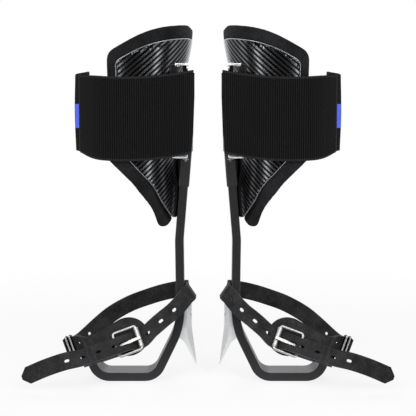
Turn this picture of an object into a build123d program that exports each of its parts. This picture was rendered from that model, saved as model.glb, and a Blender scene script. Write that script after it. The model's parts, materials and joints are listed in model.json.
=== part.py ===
from build123d import *
import math
import os

# A pair of tree climbing spikes, the left climber the mirror image of the right one.
# Millimetres. X runs across the pair, -Y is the front of the leg and Z is up. The origin
# lies between the two climbers on the ground. One climber is modelled with its leg axis
# on x = 0 and its shank on the +x side, then moved out to -x and mirrored.

# Pair
LEG_SPACING = 202.8

# Frame: shank and stirrup bent from one aluminium bar
BAR_THICKNESS = 11.0
SHANK_DEPTH = 25.0
TREAD_DEPTH = 38.0
BAR_ROUNDING = 1.2
TREAD_WIDTH = 74.6
TREAD_CENTRE = -4.1
CORNER_RADIUS = 22.5
LIP_ANGLE = 24.0
LIP_HEIGHT = 36.0
STRUT_ANGLE = 26.0
SHANK_OFFSET = 65.6
BEND_RADIUS = 95.0
LOWER_LEAN = 0.7
KINK_HEIGHT = 184.8
KINK_RADIUS = 60.0
UPPER_LEAN = 4.76
SHANK_TOP = 316.0
TAPER_TOP = 150.0
TAPER_BOTTOM = 30.0

# Height sleeve, which slides on the upper shank
SLEEVE_BOTTOM = 254.0
SLEEVE_LENGTH = 64.0
SLEEVE_WALL = 1.2
SLIDE_CLEARANCE = 0.15
SCREW_DIAMETER = 5.0
SCREW_HEAD_DIAMETER = 9.5
SCREW_HEAD_HEIGHT = 2.8
SCREW_HEX = 3.0
SCREW_INSET = 15.0
GROOVE_WIDTH = 5.8
GROOVE_DEPTH = 2.0
GROOVE_START = 215.0
TIP_CLEARANCE = 0.25

# Calf cuff: carbon shell let into a foam liner
CUFF_HALF_WIDTH = 76.0
CUFF_HALF_DEPTH = 60.0
SHELL_THICKNESS = 2.5
LINER_THICKNESS = 8.0
LINER_BORDER = 12.0
INLAY_CLEARANCE = 0.2

# Stainless cuff bracket, strap bars and rivets
BRACKET_THICKNESS = 1.5
WING_HALF_DEPTH = 28.0
WING_BOTTOM = 303.0
WING_TOP = 396.0
BAR_X = 72.4
BAR_Y = 36.0
BAR_DIAMETER = 5.0
BAR_HEAD_DIAMETER = 7.5
BAR_HEAD_HEIGHT = 1.6
PIN_CLEARANCE = 0.08
LUG_WIDTH = 10.0
LUG_THICKNESS = 2.5
LUG_RISE = 17.5
EAR_RISE = 1.0
EAR_TILT = 40.0
EAR_REACH = 20.0
ARM_HEIGHT = 40.0
CLIP_THICKNESS = 1.0
CLIP_DIAMETER = 9.0
RIVET_DIAMETER = 3.5
RIVET_HEAD_DIAMETER = 7.0
RIVET_HEAD_HEIGHT = 1.3
FIT_CLEARANCE = 0.05

# Elastic band
BAND_THICKNESS = 2.6
BAND_SEAT = 0.4
BAND_MIDDLE_TOP = 391.5
BAND_OUTER_RISE = 7.0
BAND_BAR_RISE = 11.0
BAND_HEIGHT = 103.0
BAND_REACH = 62.6
BAND_FLAT = (-16.8, 37.2)
BIGHT_RADIUS = 4.6
BIGHT_FILLET = 3.2
BAND_FILLET = 60.0
LAYER_GAP = 1.3
LABEL_HEIGHT = 30.0
LABEL_WIDTH = 7.0
LABEL_THICKNESS = 0.8
LABEL_RISE = 4.0
PATCH_WIDTH = 14.0

# Gaff and its bolts
GAFF_TOP = 116.0
GAFF_REACH = 80.0
GAFF_HALF_WIDTH = 11.0
GAFF_TIP = (86.5, 17.8)
BOLT_DIAMETER = 6.0
BOLT_HEAD_DIAMETER = 10.0
BOLT_HEAD_HEIGHT = 6.0
BOLT_LENGTH = 13.0
BOLT_HEIGHTS = (107.0, 86.0)

# Ankle strap leather
STRAP_WIDTH = 22.0
STRAP_THICKNESS = 2.5
STRAP_CLEARANCE = 0.3
HOLE_LENGTH = 6.5
HOLE_WIDTH = 3.6
HOLE_PITCH = 22.5
HOLES_EACH_WAY = 4
END_HOLES = (27.0, 45.0)
RUN_THICKNESS = 2.3
POINT_LENGTH = 11.0
POINT_WIDTH = 5.0

# Strap route, point by point from the tail to the outer end of the loop
TAIL_ROUTE = [(-131.5, -58.0, 13.5), (-98.0, -61.2, 27.0), (-76.0, -61.7, 34.5)]
FRONT_ROUTE = [(28.0, -36.0, 71.5), (42.5, -32.5, 84.0), (57.0, -26.5, 95.0), (66.5, -20.5, 104.0)]
WRAP_HEIGHTS = (112.0, 115.4, 116.3, 116.8, 116.9, 116.7)
BACK_START = (61.0, 114.8)
BACK_ROUTE = [(42.8, 28.0, 109.2), (20.6, 41.0, 100.2), (-4.7, 49.5, 89.2), (-30.0, 48.0, 75.0)]
END_ROUTE = [(-48.0, 34.0, 61.5), (-58.5, 17.5, 53.4), (-64.0, 8.5, 49.4), (-68.0, 3.6, 47.0)]
PINCH_START = (-72.0, 45.2)
PINCH_END = (-86.5, 40.2)

# Buckle: its heel bar is the origin of the buckle's own frame
HEEL_BAR = (-14.4, -45.8, 51.4)
BUCKLE_RISE = 16.5
BUCKLE_YAW = 11.5
BUCKLE_ROLL = 36.0
BUCKLE_LENGTH = 30.5
BUCKLE_TILT = 5.0
BUCKLE_WIDTH = 32.5
BUCKLE_SHIFT = 2.8
WIRE_DIAMETER = 3.2
ROLLER_DIAMETER = 6.2
ROLLER_LENGTH = 26.0
TONGUE_WIDTH = 3.6
TONGUE_THICKNESS = 2.2
TONGUE_OVERHANG = 3.0
TONGUE_EYE_WIDTH = 5.0
CHAPE_THICKNESS = 2.2
CHAPE_LENGTH = 24.0
CHAPE_TAIL = 46.0
CHAPE_TAIL_RISE = 0.8
TONGUE_SLOT_LENGTH = 16.6
TONGUE_SLOT_SETBACK = 3.75
TONGUE_SLOT_WIDTH = 4.6
PAD_CENTRE = (19.0, 7.7)
PAD_RADIUS = 26.0
PAD_NECK = (-29.0, 9.9)
KEEPER_CENTRE = -33.0
KEEPER_LENGTH = 9.0
KEEPER_WALL = 1.8
KEEPER_CLEARANCE = 0.3
CLASP_LENGTH = 10.0
CLASP_WALL = 1.2
CLASP_RIB = 1.0


RISING = (Align.CENTER, Align.CENTER, Align.MIN)
FALLING = (Align.CENTER, Align.CENTER, Align.MAX)


def tan(degrees):
    return math.tan(math.radians(degrees))


def offset_points(points, distance):
    """Shift an open polyline sideways by a distance, to the left of its direction."""
    normals = []
    for start, end in zip(points, points[1:]):
        run = math.hypot(end[0] - start[0], end[1] - start[1])
        normals.append(((start[1] - end[1]) / run, (end[0] - start[0]) / run))
    shifted = []
    for index, point in enumerate(points):
        before = normals[max(index - 1, 0)]
        after = normals[min(index, len(normals) - 1)]
        share = 1 + before[0] * after[0] + before[1] * after[1]
        shift_x = distance * (before[0] + after[0]) / share
        shift_y = distance * (before[1] + after[1]) / share
        shifted.append((point[0] + shift_x, point[1] + shift_y))
    return shifted


def ribbon(points, radii, thickness):
    """Face of a bar or band of one thickness along a filleted polyline."""
    half = thickness / 2
    left = offset_points(points, half)
    right = offset_points(points, -half)
    left_radii = []
    right_radii = []
    for before, point, after, radius in zip(points, points[1:], points[2:], radii):
        cross = ((point[0] - before[0]) * (after[1] - point[1])
                 - (point[1] - before[1]) * (after[0] - point[0]))
        turn = math.copysign(half, cross)
        left_radii.append(radius - turn)
        right_radii.append(radius + turn)
    edges = FilletPolyline(*left, radius=left_radii).edges()
    edges += FilletPolyline(*right, radius=right_radii).edges()
    edges += [Line(left[0], right[0]).edge(), Line(left[-1], right[-1]).edge()]
    return make_face(edges)


def front_prism(face, depth):
    """Extrude a face drawn in front view, x across and z up, to both sides of y = 0."""
    return extrude(Plane.XZ * face, amount=depth / 2, both=True)


# Shank and stirrup

TREAD_MIDDLE = BAR_THICKNESS / 2
LATERAL_CORNER = (TREAD_CENTRE - TREAD_WIDTH / 2, TREAD_MIDDLE)
MEDIAL_CORNER = (TREAD_CENTRE + TREAD_WIDTH / 2, TREAD_MIDDLE)
LIP_END = (LATERAL_CORNER[0] - (LIP_HEIGHT - TREAD_MIDDLE) * tan(LIP_ANGLE), LIP_HEIGHT)
SHANK_BEND = (SHANK_OFFSET, TREAD_MIDDLE + (SHANK_OFFSET - MEDIAL_CORNER[0]) / tan(STRUT_ANGLE))
KINK = (SHANK_OFFSET - (KINK_HEIGHT - SHANK_BEND[1]) * tan(LOWER_LEAN), KINK_HEIGHT)
LEAN = Vector(math.sin(math.radians(UPPER_LEAN)), 0, math.cos(math.radians(UPPER_LEAN)))
SHANK_PLANE = Plane(origin=(KINK[0], 0, KINK[1]), x_dir=(LEAN.Z, 0, -LEAN.X), z_dir=LEAN)


def shank_x(height):
    """Centre line of the upper shank."""
    return KINK[0] + (height - KINK[1]) * tan(UPPER_LEAN)


def along_shank(height):
    """Distance from the kink along the leaning upper shank."""
    return (height - KINK[1]) / LEAN.Z


def half_depth(height):
    """Half the bar's depth, front to back, at a height."""
    share = min(max((TAPER_TOP - height) / (TAPER_TOP - TAPER_BOTTOM), 0), 1)
    return (SHANK_DEPTH + share * (TREAD_DEPTH - SHANK_DEPTH)) / 2


def frame_bar():
    """The bent bar, tapered in side view, with rounded edges and a groove for the screws."""
    top = (shank_x(SHANK_TOP), SHANK_TOP)
    route = [LIP_END, LATERAL_CORNER, MEDIAL_CORNER, SHANK_BEND, KINK, top]
    radii = [CORNER_RADIUS, CORNER_RADIUS, BEND_RADIUS, KINK_RADIUS]
    bar = front_prism(ribbon(route, radii, BAR_THICKNESS), 2 * TREAD_DEPTH)
    reach = SHANK_TOP + BAR_THICKNESS
    levels = [-BAR_THICKNESS, TAPER_BOTTOM, TAPER_TOP, reach]
    side = [(half_depth(level), level) for level in levels]
    side += [(-half_depth(level), level) for level in reversed(levels)]
    taper = make_face(Polyline(*side, close=True).edges())
    bar = bar & extrude(Plane.YZ * taper, amount=LEG_SPACING, both=True)
    bar = fillet(rim_edges(bar), BAR_ROUNDING)
    groove_length = along_shank(SHANK_TOP) - along_shank(GROOVE_START)
    groove = Box(GROOVE_WIDTH, 2 * GROOVE_DEPTH, 2 * groove_length, align=RISING)
    return bar - SHANK_PLANE * Pos(0, SHANK_DEPTH / 2, along_shank(GROOVE_START)) * groove


def rim_edges(bar):
    """Edges round the bar's front and back faces."""
    rims = []
    for face in bar.faces():
        if abs(face.normal_at().Y) < 0.9:
            continue
        for edge in face.edges():
            middle = edge.position_at(0.5)
            across = abs(edge.tangent_at(0.5).X) > 0.999
            at_break = min(abs(middle.Z - TAPER_TOP), abs(middle.Z - TAPER_BOTTOM)) < 0.01
            if not (across and at_break):
                rims.append(edge)
    return rims


def gaff(frame):
    """Steel spike: a flanged wedge seated on the strut, drawn to a point in five sections."""
    tip_x, tip_z = GAFF_TIP
    edge = GAFF_REACH
    width = GAFF_HALF_WIDTH
    sections = [
        (GAFF_TOP, SHANK_OFFSET - 5, edge - 7.0, edge - 4.0, width - 1.5),
        (GAFF_TOP - 10, SHANK_OFFSET - 5, edge - 6.0, edge, width),
        (70.0, SHANK_OFFSET - 8, edge - 6.5, edge, width),
        (56.0, SHANK_OFFSET - 3, edge - 5.0, edge + 1.7, width - 2.0),
        (49.0, SHANK_OFFSET + 5.5, edge - 3.0, edge + 2.6, width - 3.4),
        (tip_z, tip_x - 0.9, tip_x - 0.2, tip_x, 0.4),
    ]
    wires = []
    for height, back, shoulder, ridge, half in sections:
        flat = half * 0.35
        outline = [(back, -half), (shoulder, -half), (ridge, -flat),
                   (ridge, flat), (shoulder, half), (back, half)]
        wires.append(Wire.make_polygon([(x, y, height) for x, y in outline], close=True))
    spike = Solid.make_loft(wires, ruled=True) - frame
    for height in BOLT_HEIGHTS:
        spike -= bolt(height, FIT_CLEARANCE)
    return max(spike.solids(), key=lambda solid: solid.volume)


def bolt(height, clearance=0.0):
    """Socket-head bolt through the gaff into the bar, or its hole with a clearance."""
    head_seat = GAFF_REACH - BOLT_HEAD_HEIGHT - 0.5
    head = Cylinder(BOLT_HEAD_DIAMETER / 2 + clearance, BOLT_HEAD_HEIGHT + 20 * clearance,
                    align=RISING)
    stem = Cylinder(BOLT_DIAMETER / 2 + clearance, BOLT_LENGTH + clearance,
                    align=FALLING)
    body = head + stem
    if clearance == 0:
        socket = extrude(RegularPolygon(BOLT_DIAMETER / 2 - 0.5, 6), amount=BOLT_HEAD_HEIGHT)
        body -= Pos(0, 0, BOLT_HEAD_HEIGHT / 2) * socket
    return Plane(origin=(head_seat, 0, height), x_dir=(0, 1, 0), z_dir=(1, 0, 0)) * body


# Height sleeve

SLEEVE_OUTER_X = BAR_THICKNESS + 2 * (SLIDE_CLEARANCE + SLEEVE_WALL)
SLEEVE_OUTER_Y = SHANK_DEPTH + 2 * (SLIDE_CLEARANCE + SLEEVE_WALL)
SLEEVE_START = along_shank(SLEEVE_BOTTOM)
SCREW_PLACES = (SLEEVE_START + SCREW_INSET, SLEEVE_START + SLEEVE_LENGTH - SCREW_INSET)


def height_sleeve():
    """Folded rectangular sleeve round the upper shank."""
    outer = Box(SLEEVE_OUTER_X, SLEEVE_OUTER_Y, SLEEVE_LENGTH, align=RISING)
    outer = fillet(outer.edges().filter_by(Axis.Z), SLEEVE_WALL)
    inner = Box(SLEEVE_OUTER_X - 2 * SLEEVE_WALL, SLEEVE_OUTER_Y - 2 * SLEEVE_WALL, SLEEVE_LENGTH,
                align=RISING)
    sleeve = SHANK_PLANE * Pos(0, 0, SLEEVE_START) * (outer - inner)
    for place in SCREW_PLACES:
        sleeve -= sleeve_screw(place, FIT_CLEARANCE)
    return sleeve


def sleeve_screw(place, clearance=0.0):
    """Button-head screw in the sleeve's back wall, its tip in the shank's groove."""
    tip = SLEEVE_WALL + SLIDE_CLEARANCE + GROOVE_DEPTH - TIP_CLEARANCE
    stem = Cylinder(SCREW_DIAMETER / 2 + clearance, tip, align=FALLING)
    if clearance == 0:
        rim = Cylinder(SCREW_HEAD_DIAMETER / 2, SCREW_HEAD_HEIGHT, align=RISING)
        rim = fillet(rim.edges().sort_by(Axis.Z)[-1], SCREW_HEAD_HEIGHT * 0.7)
        socket = extrude(RegularPolygon(SCREW_HEX / 2, 6), amount=SCREW_HEAD_HEIGHT)
        stem += rim - Pos(0, 0, SCREW_HEAD_HEIGHT / 2) * socket
    seat = Plane(origin=(0, SLEEVE_OUTER_Y / 2, place), x_dir=(1, 0, 0), z_dir=(0, 1, 0))
    return SHANK_PLANE * (seat * stem)


# Calf cuff

CUFF_FLOOR = 180.0
CUFF_RISE = 300.0
VERTEX_GAP = SLIDE_CLEARANCE + SLEEVE_WALL + BRACKET_THICKNESS


def vertex_x(height):
    """Medial side of the carbon shell, just inside the bracket and sleeve."""
    return shank_x(height) - (BAR_THICKNESS / 2 + VERTEX_GAP) / LEAN.Z


def cuff_centre(height):
    return vertex_x(height) - CUFF_HALF_WIDTH


def cuff_prism(offset):
    """Solid oval column that leans with the shank, offset from the shell's outer face."""
    oval = Ellipse(CUFF_HALF_WIDTH + offset, CUFF_HALF_DEPTH + offset)
    base = Pos(cuff_centre(CUFF_FLOOR), 0, CUFF_FLOOR) * oval
    return extrude(base, amount=CUFF_RISE / LEAN.Z, dir=LEAN)


def cuff_wall(outer, inner):
    return cuff_prism(outer) - cuff_prism(inner)


SHELL_OUTLINE = [(-11.5, 410.0), (30.0, 433.0), (105.0, 446.5), (105.0, 262.0), (54.5, 212.0),
                 (35.0, 248.5), (-7.0, 296.5)]
SHELL_ROUNDING = [10.0, 160.0, 0.0, 0.0, 5.0, 120.0, 14.0]
LINER_OUTLINE = [(-22.8, 421.5), (30.0, 448.5), (105.0, 461.5), (105.0, 274.0), (45.5, 199.5),
                 (28.0, 237.5), (-19.5, 294.0)]
LINER_ROUNDING = [16.0, 160.0, 0.0, 0.0, 9.0, 120.0, 14.0]


def outline_face(points, radii):
    return make_face(FilletPolyline(*points, radius=radii, close=True).edges())


def cuff_shell():
    """Carbon shell: the oval wall cut to its outline in front view."""
    cut = front_prism(outline_face(SHELL_OUTLINE, SHELL_ROUNDING), 4 * CUFF_HALF_DEPTH)
    shell = cuff_wall(0, -SHELL_THICKNESS) & cut
    for place in rivet_places():
        shell -= place * Cylinder(RIVET_DIAMETER / 2 + FIT_CLEARANCE, 4 * SHELL_THICKNESS)
    return shell


def cuff_liner():
    """Foam liner: lies inside the shell and stands level with it round its edge."""
    cut = front_prism(outline_face(LINER_OUTLINE, LINER_ROUNDING), 4 * CUFF_HALF_DEPTH)
    liner = cuff_wall(0, -SHELL_THICKNESS - LINER_THICKNESS) & cut
    inlay = offset(outline_face(SHELL_OUTLINE, SHELL_ROUNDING), amount=INLAY_CLEARANCE)
    pocket = cuff_wall(LINER_BORDER, -SHELL_THICKNESS - FIT_CLEARANCE)
    return liner - (pocket & front_prism(inlay, 4 * CUFF_HALF_DEPTH))


# Cuff bracket, strap bars and rivets

def rivet_places():
    """Frames of the bracket rivets, on the shell's outer face and pointing outwards."""
    places = []
    for side in (-1, 1):
        for height in (WING_BOTTOM + 18, WING_TOP - 18):
            across = side * WING_HALF_DEPTH * 0.6
            angle = math.asin(across / CUFF_HALF_DEPTH)
            point = (cuff_centre(height) + CUFF_HALF_WIDTH * math.cos(angle), across, height)
            normal = Vector(math.cos(angle) / CUFF_HALF_WIDTH, math.sin(angle) / CUFF_HALF_DEPTH,
                            -math.cos(angle) / CUFF_HALF_WIDTH * tan(UPPER_LEAN))
            places.append(Plane(origin=point, x_dir=Vector(0, 0, 1).cross(normal), z_dir=normal))
    return places


def bracket_rivets():
    """Four domed rivets that hold the bracket's wings to the shell."""
    stem = Cylinder(RIVET_DIAMETER / 2, BRACKET_THICKNESS + SHELL_THICKNESS - FIT_CLEARANCE,
                    align=FALLING)
    head = Cone(RIVET_HEAD_DIAMETER / 2, RIVET_DIAMETER / 2, RIVET_HEAD_HEIGHT,
                align=RISING)
    rivet = Pos(0, 0, BRACKET_THICKNESS) * (stem + head)
    return [place * rivet for place in rivet_places()]


LUG_TOP = BAND_MIDDLE_TOP + LUG_RISE
EAR_HEIGHT = BAND_MIDDLE_TOP - BAND_HEIGHT + EAR_RISE


def upper_lug(side):
    """Flat ear from the bracket's stem out to a strap bar, rounded about the bar."""
    level = LUG_TOP - LUG_THICKNESS / 2
    reach = BAR_X - stem_face(level) + SHELL_THICKNESS
    arm = Pos(-reach / 2, 0, 0) * Box(reach, LUG_WIDTH, LUG_THICKNESS)
    return Pos(BAR_X, side * BAR_Y, level) * (arm + Cylinder(LUG_WIDTH / 2, LUG_THICKNESS))


def lower_ear(side):
    """Tapered ear, tilted to face outwards, at the lower end of a strap bar."""
    tilt = math.radians(EAR_TILT)
    plane = Plane(origin=(BAR_X, side * BAR_Y, EAR_HEIGHT), x_dir=(1, 0, 0),
                  z_dir=(0, side * math.sin(tilt), math.cos(tilt)))
    root = Pos(-EAR_REACH, 0) * Circle(LUG_WIDTH * 0.4)
    outline = make_hull(Circle(LUG_WIDTH / 2).edges() + root.edges())
    return plane * extrude(outline, amount=LUG_THICKNESS / 2, both=True)


def stem_face(height):
    """Medial face of the shell where the bracket's stems lie."""
    return cuff_centre(height) + CUFF_HALF_WIDTH * math.sqrt(1 - (BAR_Y / CUFF_HALF_DEPTH) ** 2)


def cuff_bracket():
    """Stainless saddle on the shell, with a pad for the sleeve and ears for the strap bars."""
    skin = cuff_wall(BRACKET_THICKNESS, FIT_CLEARANCE)
    middle = Pos(BAR_X, 0, (WING_TOP + WING_BOTTOM) / 2)
    saddle = skin & middle * Box(2 * CUFF_HALF_WIDTH, 2 * WING_HALF_DEPTH, WING_TOP - WING_BOTTOM)
    arms = skin & middle * Box(2 * CUFF_HALF_WIDTH, 2 * BAR_Y, ARM_HEIGHT)
    saddle += arms
    pad = Box(2 * BRACKET_THICKNESS, SHANK_DEPTH * 0.7, SLEEVE_LENGTH,
              align=(Align.MAX, Align.CENTER, Align.MIN))
    saddle += SHANK_PLANE * Pos(-SLEEVE_OUTER_X / 2, 0, SLEEVE_START) * pad
    stem_height = LUG_TOP - EAR_HEIGHT
    for side in (-1, 1):
        place = Pos(BAR_X, side * BAR_Y, EAR_HEIGHT)
        stem = place * Box(2 * CUFF_HALF_WIDTH, LUG_WIDTH, stem_height, align=RISING)
        saddle += (skin & stem) + upper_lug(side) + lower_ear(side)
        saddle -= place * Cylinder(BAR_DIAMETER / 2 + PIN_CLEARANCE, 3 * stem_height)
    saddle -= cuff_prism(FIT_CLEARANCE)
    hole = Cylinder(RIVET_DIAMETER / 2 + FIT_CLEARANCE, 4 * SHELL_THICKNESS)
    seat = Cylinder(RIVET_HEAD_DIAMETER / 2 + FIT_CLEARANCE, BRACKET_THICKNESS, align=RISING)
    cutter = hole + Pos(0, 0, BRACKET_THICKNESS) * seat
    return saddle - [place * cutter for place in rivet_places()]


EAR_FLOOR = EAR_HEIGHT - (LUG_WIDTH * math.sin(math.radians(EAR_TILT)) + LUG_THICKNESS) / 2


def strap_bar(side):
    """Round bar with a head on the upper ear."""
    length = LUG_TOP - EAR_FLOOR + CLIP_THICKNESS + BAR_DIAMETER / 2
    rod = Cylinder(BAR_DIAMETER / 2, length, align=FALLING)
    head = Cylinder(BAR_HEAD_DIAMETER / 2, BAR_HEAD_HEIGHT, align=RISING)
    head = chamfer(head.edges().sort_by(Axis.Z)[-1], BAR_HEAD_HEIGHT / 2)
    return Pos(BAR_X, side * BAR_Y, LUG_TOP + FIT_CLEARANCE) * (rod + head)


def bar_clip(side):
    """Ring clip under the lower ear that keeps the bar in place."""
    ring = Cylinder(CLIP_DIAMETER / 2, CLIP_THICKNESS, align=FALLING)
    ring -= Cylinder(BAR_DIAMETER / 2, 4 * CLIP_THICKNESS)
    return Pos(BAR_X, side * BAR_Y, EAR_FLOOR - FIT_CLEARANCE) * ring


# Elastic band, drawn in plan

BAND_MIDDLE = BAND_MIDDLE_TOP - BAND_HEIGHT / 2
BAND_CENTRE = cuff_centre(BAND_MIDDLE)
FLAT_START = BAND_CENTRE + BAND_FLAT[0]
FLAT_END = BAND_CENTRE + BAND_FLAT[1]
LABEL_CENTRE = BAND_MIDDLE + LABEL_RISE
BAND_FRONT = CUFF_HALF_DEPTH + BAND_SEAT + BAND_THICKNESS / 2
BIGHT_X = BAR_X + BAR_DIAMETER / 2 + 4.3


def band_polar(radius, degrees):
    angle = math.radians(degrees)
    return (BAND_CENTRE + radius * math.cos(angle), radius * math.sin(angle))


def band_prism(face):
    """Raise a plan face to the band's height, with its top and bottom edges dipping in the middle."""
    block = extrude(Pos(0, 0, CUFF_FLOOR) * face, amount=CUFF_RISE)
    outer = (BAND_CENTRE - BAND_REACH - BAND_THICKNESS, BAND_OUTER_RISE)
    bar = (BIGHT_X + 4 * BAND_THICKNESS, BAND_BAR_RISE)
    edges = []
    for level in (BAND_MIDDLE_TOP, BAND_MIDDLE_TOP - BAND_HEIGHT):
        arc = ThreePointArc((outer[0], level + outer[1]), (0, level), (bar[0], level + bar[1]))
        edges.append(arc.edge())
    for x, rise in (outer, bar):
        edges.append(Line((x, BAND_MIDDLE_TOP + rise), (x, BAND_MIDDLE_TOP - BAND_HEIGHT + rise)).edge())
    return block & front_prism(make_face(edges), 4 * CUFF_HALF_DEPTH)


def bight_route(side):
    """Plan points of the sewn loop in which a strap bar runs, from the leg's front or back."""
    front = BAR_Y + BIGHT_RADIUS
    back = BAR_Y - BIGHT_RADIUS
    route = [(FLAT_END, BAND_FRONT), (BIGHT_X, front + 1.0), (BIGHT_X + 4.0, BAR_Y),
             (BIGHT_X, back), (BAR_X, back)]
    return [(x, side * y) for x, y in route]


def bight_return(side):
    """Inner layer of the loop, from behind the bar back to the outer layer."""
    back = BAR_Y - BIGHT_RADIUS
    route = [(BAR_X + 3.0, back), (BAR_X - 4.5, back), (BAR_X - 15.0, BAR_Y + BIGHT_RADIUS + 8.0)]
    return ribbon([(x, side * y) for x, y in route], [BIGHT_FILLET], BAND_THICKNESS)


# The free end of the front half lies flat on the back half, with the closure patch between
LAP_START = band_polar(BAND_REACH, -120)
LAP_END = band_polar(BAND_REACH, -146)
LAP_RUN = math.dist(LAP_START, LAP_END)
LAP_ALONG = ((LAP_END[0] - LAP_START[0]) / LAP_RUN, (LAP_END[1] - LAP_START[1]) / LAP_RUN)
LAP_INWARD = (LAP_ALONG[1], -LAP_ALONG[0])


def lap_point(along, inward):
    """Plan point on the lap, from its end and inwards from the front half's middle."""
    return (LAP_END[0] + along * LAP_ALONG[0] + inward * LAP_INWARD[0],
            LAP_END[1] + along * LAP_ALONG[1] + inward * LAP_INWARD[1])


def front_band():
    """Front half of the band: from its loop on the front bar to its free end."""
    route = [LAP_END, LAP_START, (FLAT_START, -BAND_FRONT - BAND_SEAT)] + bight_route(-1)
    radii = [34.0, 40.0, BAND_FILLET] + 3 * [BIGHT_FILLET]
    return band_prism(ribbon(route, radii, BAND_THICKNESS) + bight_return(-1))


UNDERLAP = BAND_THICKNESS + LAYER_GAP
SIDE_TOP = band_polar(BAND_REACH, 172)
SIDE_BOTTOM = lap_point(10.0, UNDERLAP)


def rear_band():
    """Back half of the band: round the outside of the leg and under the front half."""
    route = [lap_point(-LAP_RUN * 0.8, UNDERLAP), SIDE_BOTTOM, SIDE_TOP, band_polar(1.04 * BAND_REACH, 135),
             (FLAT_START - BAND_SEAT, BAND_FRONT + BAND_SEAT)] + bight_route(1)
    radii = [30.0, 50.0, 42.0, 40.0, BAND_FILLET] + 3 * [BIGHT_FILLET]
    return band_prism(ribbon(route, radii, BAND_THICKNESS) + bight_return(1))


def closure_patch():
    """Hook-and-loop patch between the two halves of the band."""
    height = BAND_HEIGHT - 4 * BAND_OUTER_RISE
    centre = lap_point(-PATCH_WIDTH / 2, UNDERLAP / 2)
    plane = Plane(origin=(*centre, LABEL_CENTRE), x_dir=(*LAP_ALONG, 0), z_dir=(0, 0, 1))
    return plane * Box(PATCH_WIDTH, LAYER_GAP - 2 * FIT_CLEARANCE, height)


def label_tab():
    """Plain woven tab sewn to the flat outer side of the band."""
    run = math.dist(SIDE_TOP, SIDE_BOTTOM)
    along = ((SIDE_BOTTOM[0] - SIDE_TOP[0]) / run, (SIDE_BOTTOM[1] - SIDE_TOP[1]) / run)
    middle = (SIDE_TOP[0] + 0.56 * run * along[0], SIDE_TOP[1] + 0.56 * run * along[1])
    plane = Plane(origin=(*middle, LABEL_CENTRE), x_dir=(*along, 0), z_dir=(along[1], -along[0], 0))
    tab = Box(LABEL_WIDTH, LABEL_HEIGHT, LABEL_THICKNESS, align=RISING)
    return plane * Pos(0, 0, BAND_THICKNESS / 2 + FIT_CLEARANCE) * tab


# Leather ankle strap and buckle

def rotated(vector, rise, yaw):
    """Turn a vector up by a rise about Y, then back by a yaw about Z."""
    lifted = Vector(vector).rotate(Axis.Y, -rise)
    return lifted.rotate(Axis.Z, yaw)


ROLL = math.radians(BUCKLE_ROLL)
ALONG = rotated((1, 0, 0), BUCKLE_RISE, BUCKLE_YAW)
OUTWARD = rotated((0, -math.cos(ROLL), math.sin(ROLL)), BUCKLE_RISE, BUCKLE_YAW)
BUCKLE_PLANE = Plane(origin=HEEL_BAR, x_dir=ALONG, z_dir=OUTWARD)
ACROSS = BUCKLE_PLANE.y_dir
WIRE_RADIUS = WIRE_DIAMETER / 2
FOLD_INNER = WIRE_RADIUS + STRAP_CLEARANCE
FOLD_OUTER = FOLD_INNER + CHAPE_THICKNESS
BILLET_LEVEL = FOLD_OUTER + STRAP_CLEARANCE / 2 + STRAP_THICKNESS / 2
FRONT_BAR = (BUCKLE_LENGTH * math.cos(math.radians(BUCKLE_TILT)),
             BUCKLE_LENGTH * math.sin(math.radians(BUCKLE_TILT)))
ROLLER_LEVEL = FRONT_BAR[1] - ROLLER_DIAMETER / 2 - STRAP_CLEARANCE - STRAP_THICKNESS / 2
PAD_LEVEL = -FOLD_OUTER - STRAP_CLEARANCE / 2 - STRAP_THICKNESS / 2


def at_buckle(along, across, outward):
    """World point for a place in the buckle's frame."""
    return BUCKLE_PLANE.from_local_coords(Vector(along, across, outward))


def strap_loft(stations, thickness):
    """Flat strap through stations of centre, width direction and width."""
    centres = [Vector(station[0]) for station in stations]
    wires = []
    for index, (centre, direction, width) in enumerate(stations):
        before = centres[max(index - 1, 0)]
        after = centres[min(index + 1, len(centres) - 1)]
        tangent = unit_mean(before, centres[index], after)
        side = Vector(direction)
        side = (side - tangent * side.dot(tangent)).normalized()
        normal = tangent.cross(side)
        stretch = 1.0
        if 0 < index < len(centres) - 1:
            stretch = 1 / max(tangent.dot((centres[index] - before).normalized()), 0.7)
        half_side = side * (width / 2)
        half_normal = normal * (thickness / 2 * stretch)
        corners = [half_side + half_normal, half_normal - half_side,
                   -half_side - half_normal, half_side - half_normal]
        wires.append(Wire.make_polygon([centres[index] + corner for corner in corners], close=True))
    return Solid.make_loft(wires, ruled=True)


def unit_mean(before, centre, after):
    """Direction of travel at a station, midway between the runs on both sides."""
    total = Vector(0, 0, 0)
    for start, end in ((before, centre), (centre, after)):
        if (end - start).length > 0:
            total += (end - start).normalized()
    return total.normalized()


WRAP_Y = half_depth(112.0) + STRAP_CLEARANCE + STRAP_THICKNESS / 2 + 0.4
WRAP_X = SHANK_OFFSET + BAR_THICKNESS / 2 + STRAP_CLEARANCE + 7.1
FRONT_TILTS = [(-0.48, 0.42, 0.77), (-0.55, 0.25, 0.79), (-0.58, 0.15, 0.80), (-0.56, 0.05, 0.83)]
WRAP_TILT = (-0.551, 0.0, 0.834)
TAIL_TILT = (-0.37, 0.30, 0.88)
BACK_LEANS = (0.13, 0.2, 0.32, 0.46, 0.58)
LATERAL_TILT = (-0.62, 0.0, 0.78)
PINCH_TILT = (-0.33, 0.0, 0.945)


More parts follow.
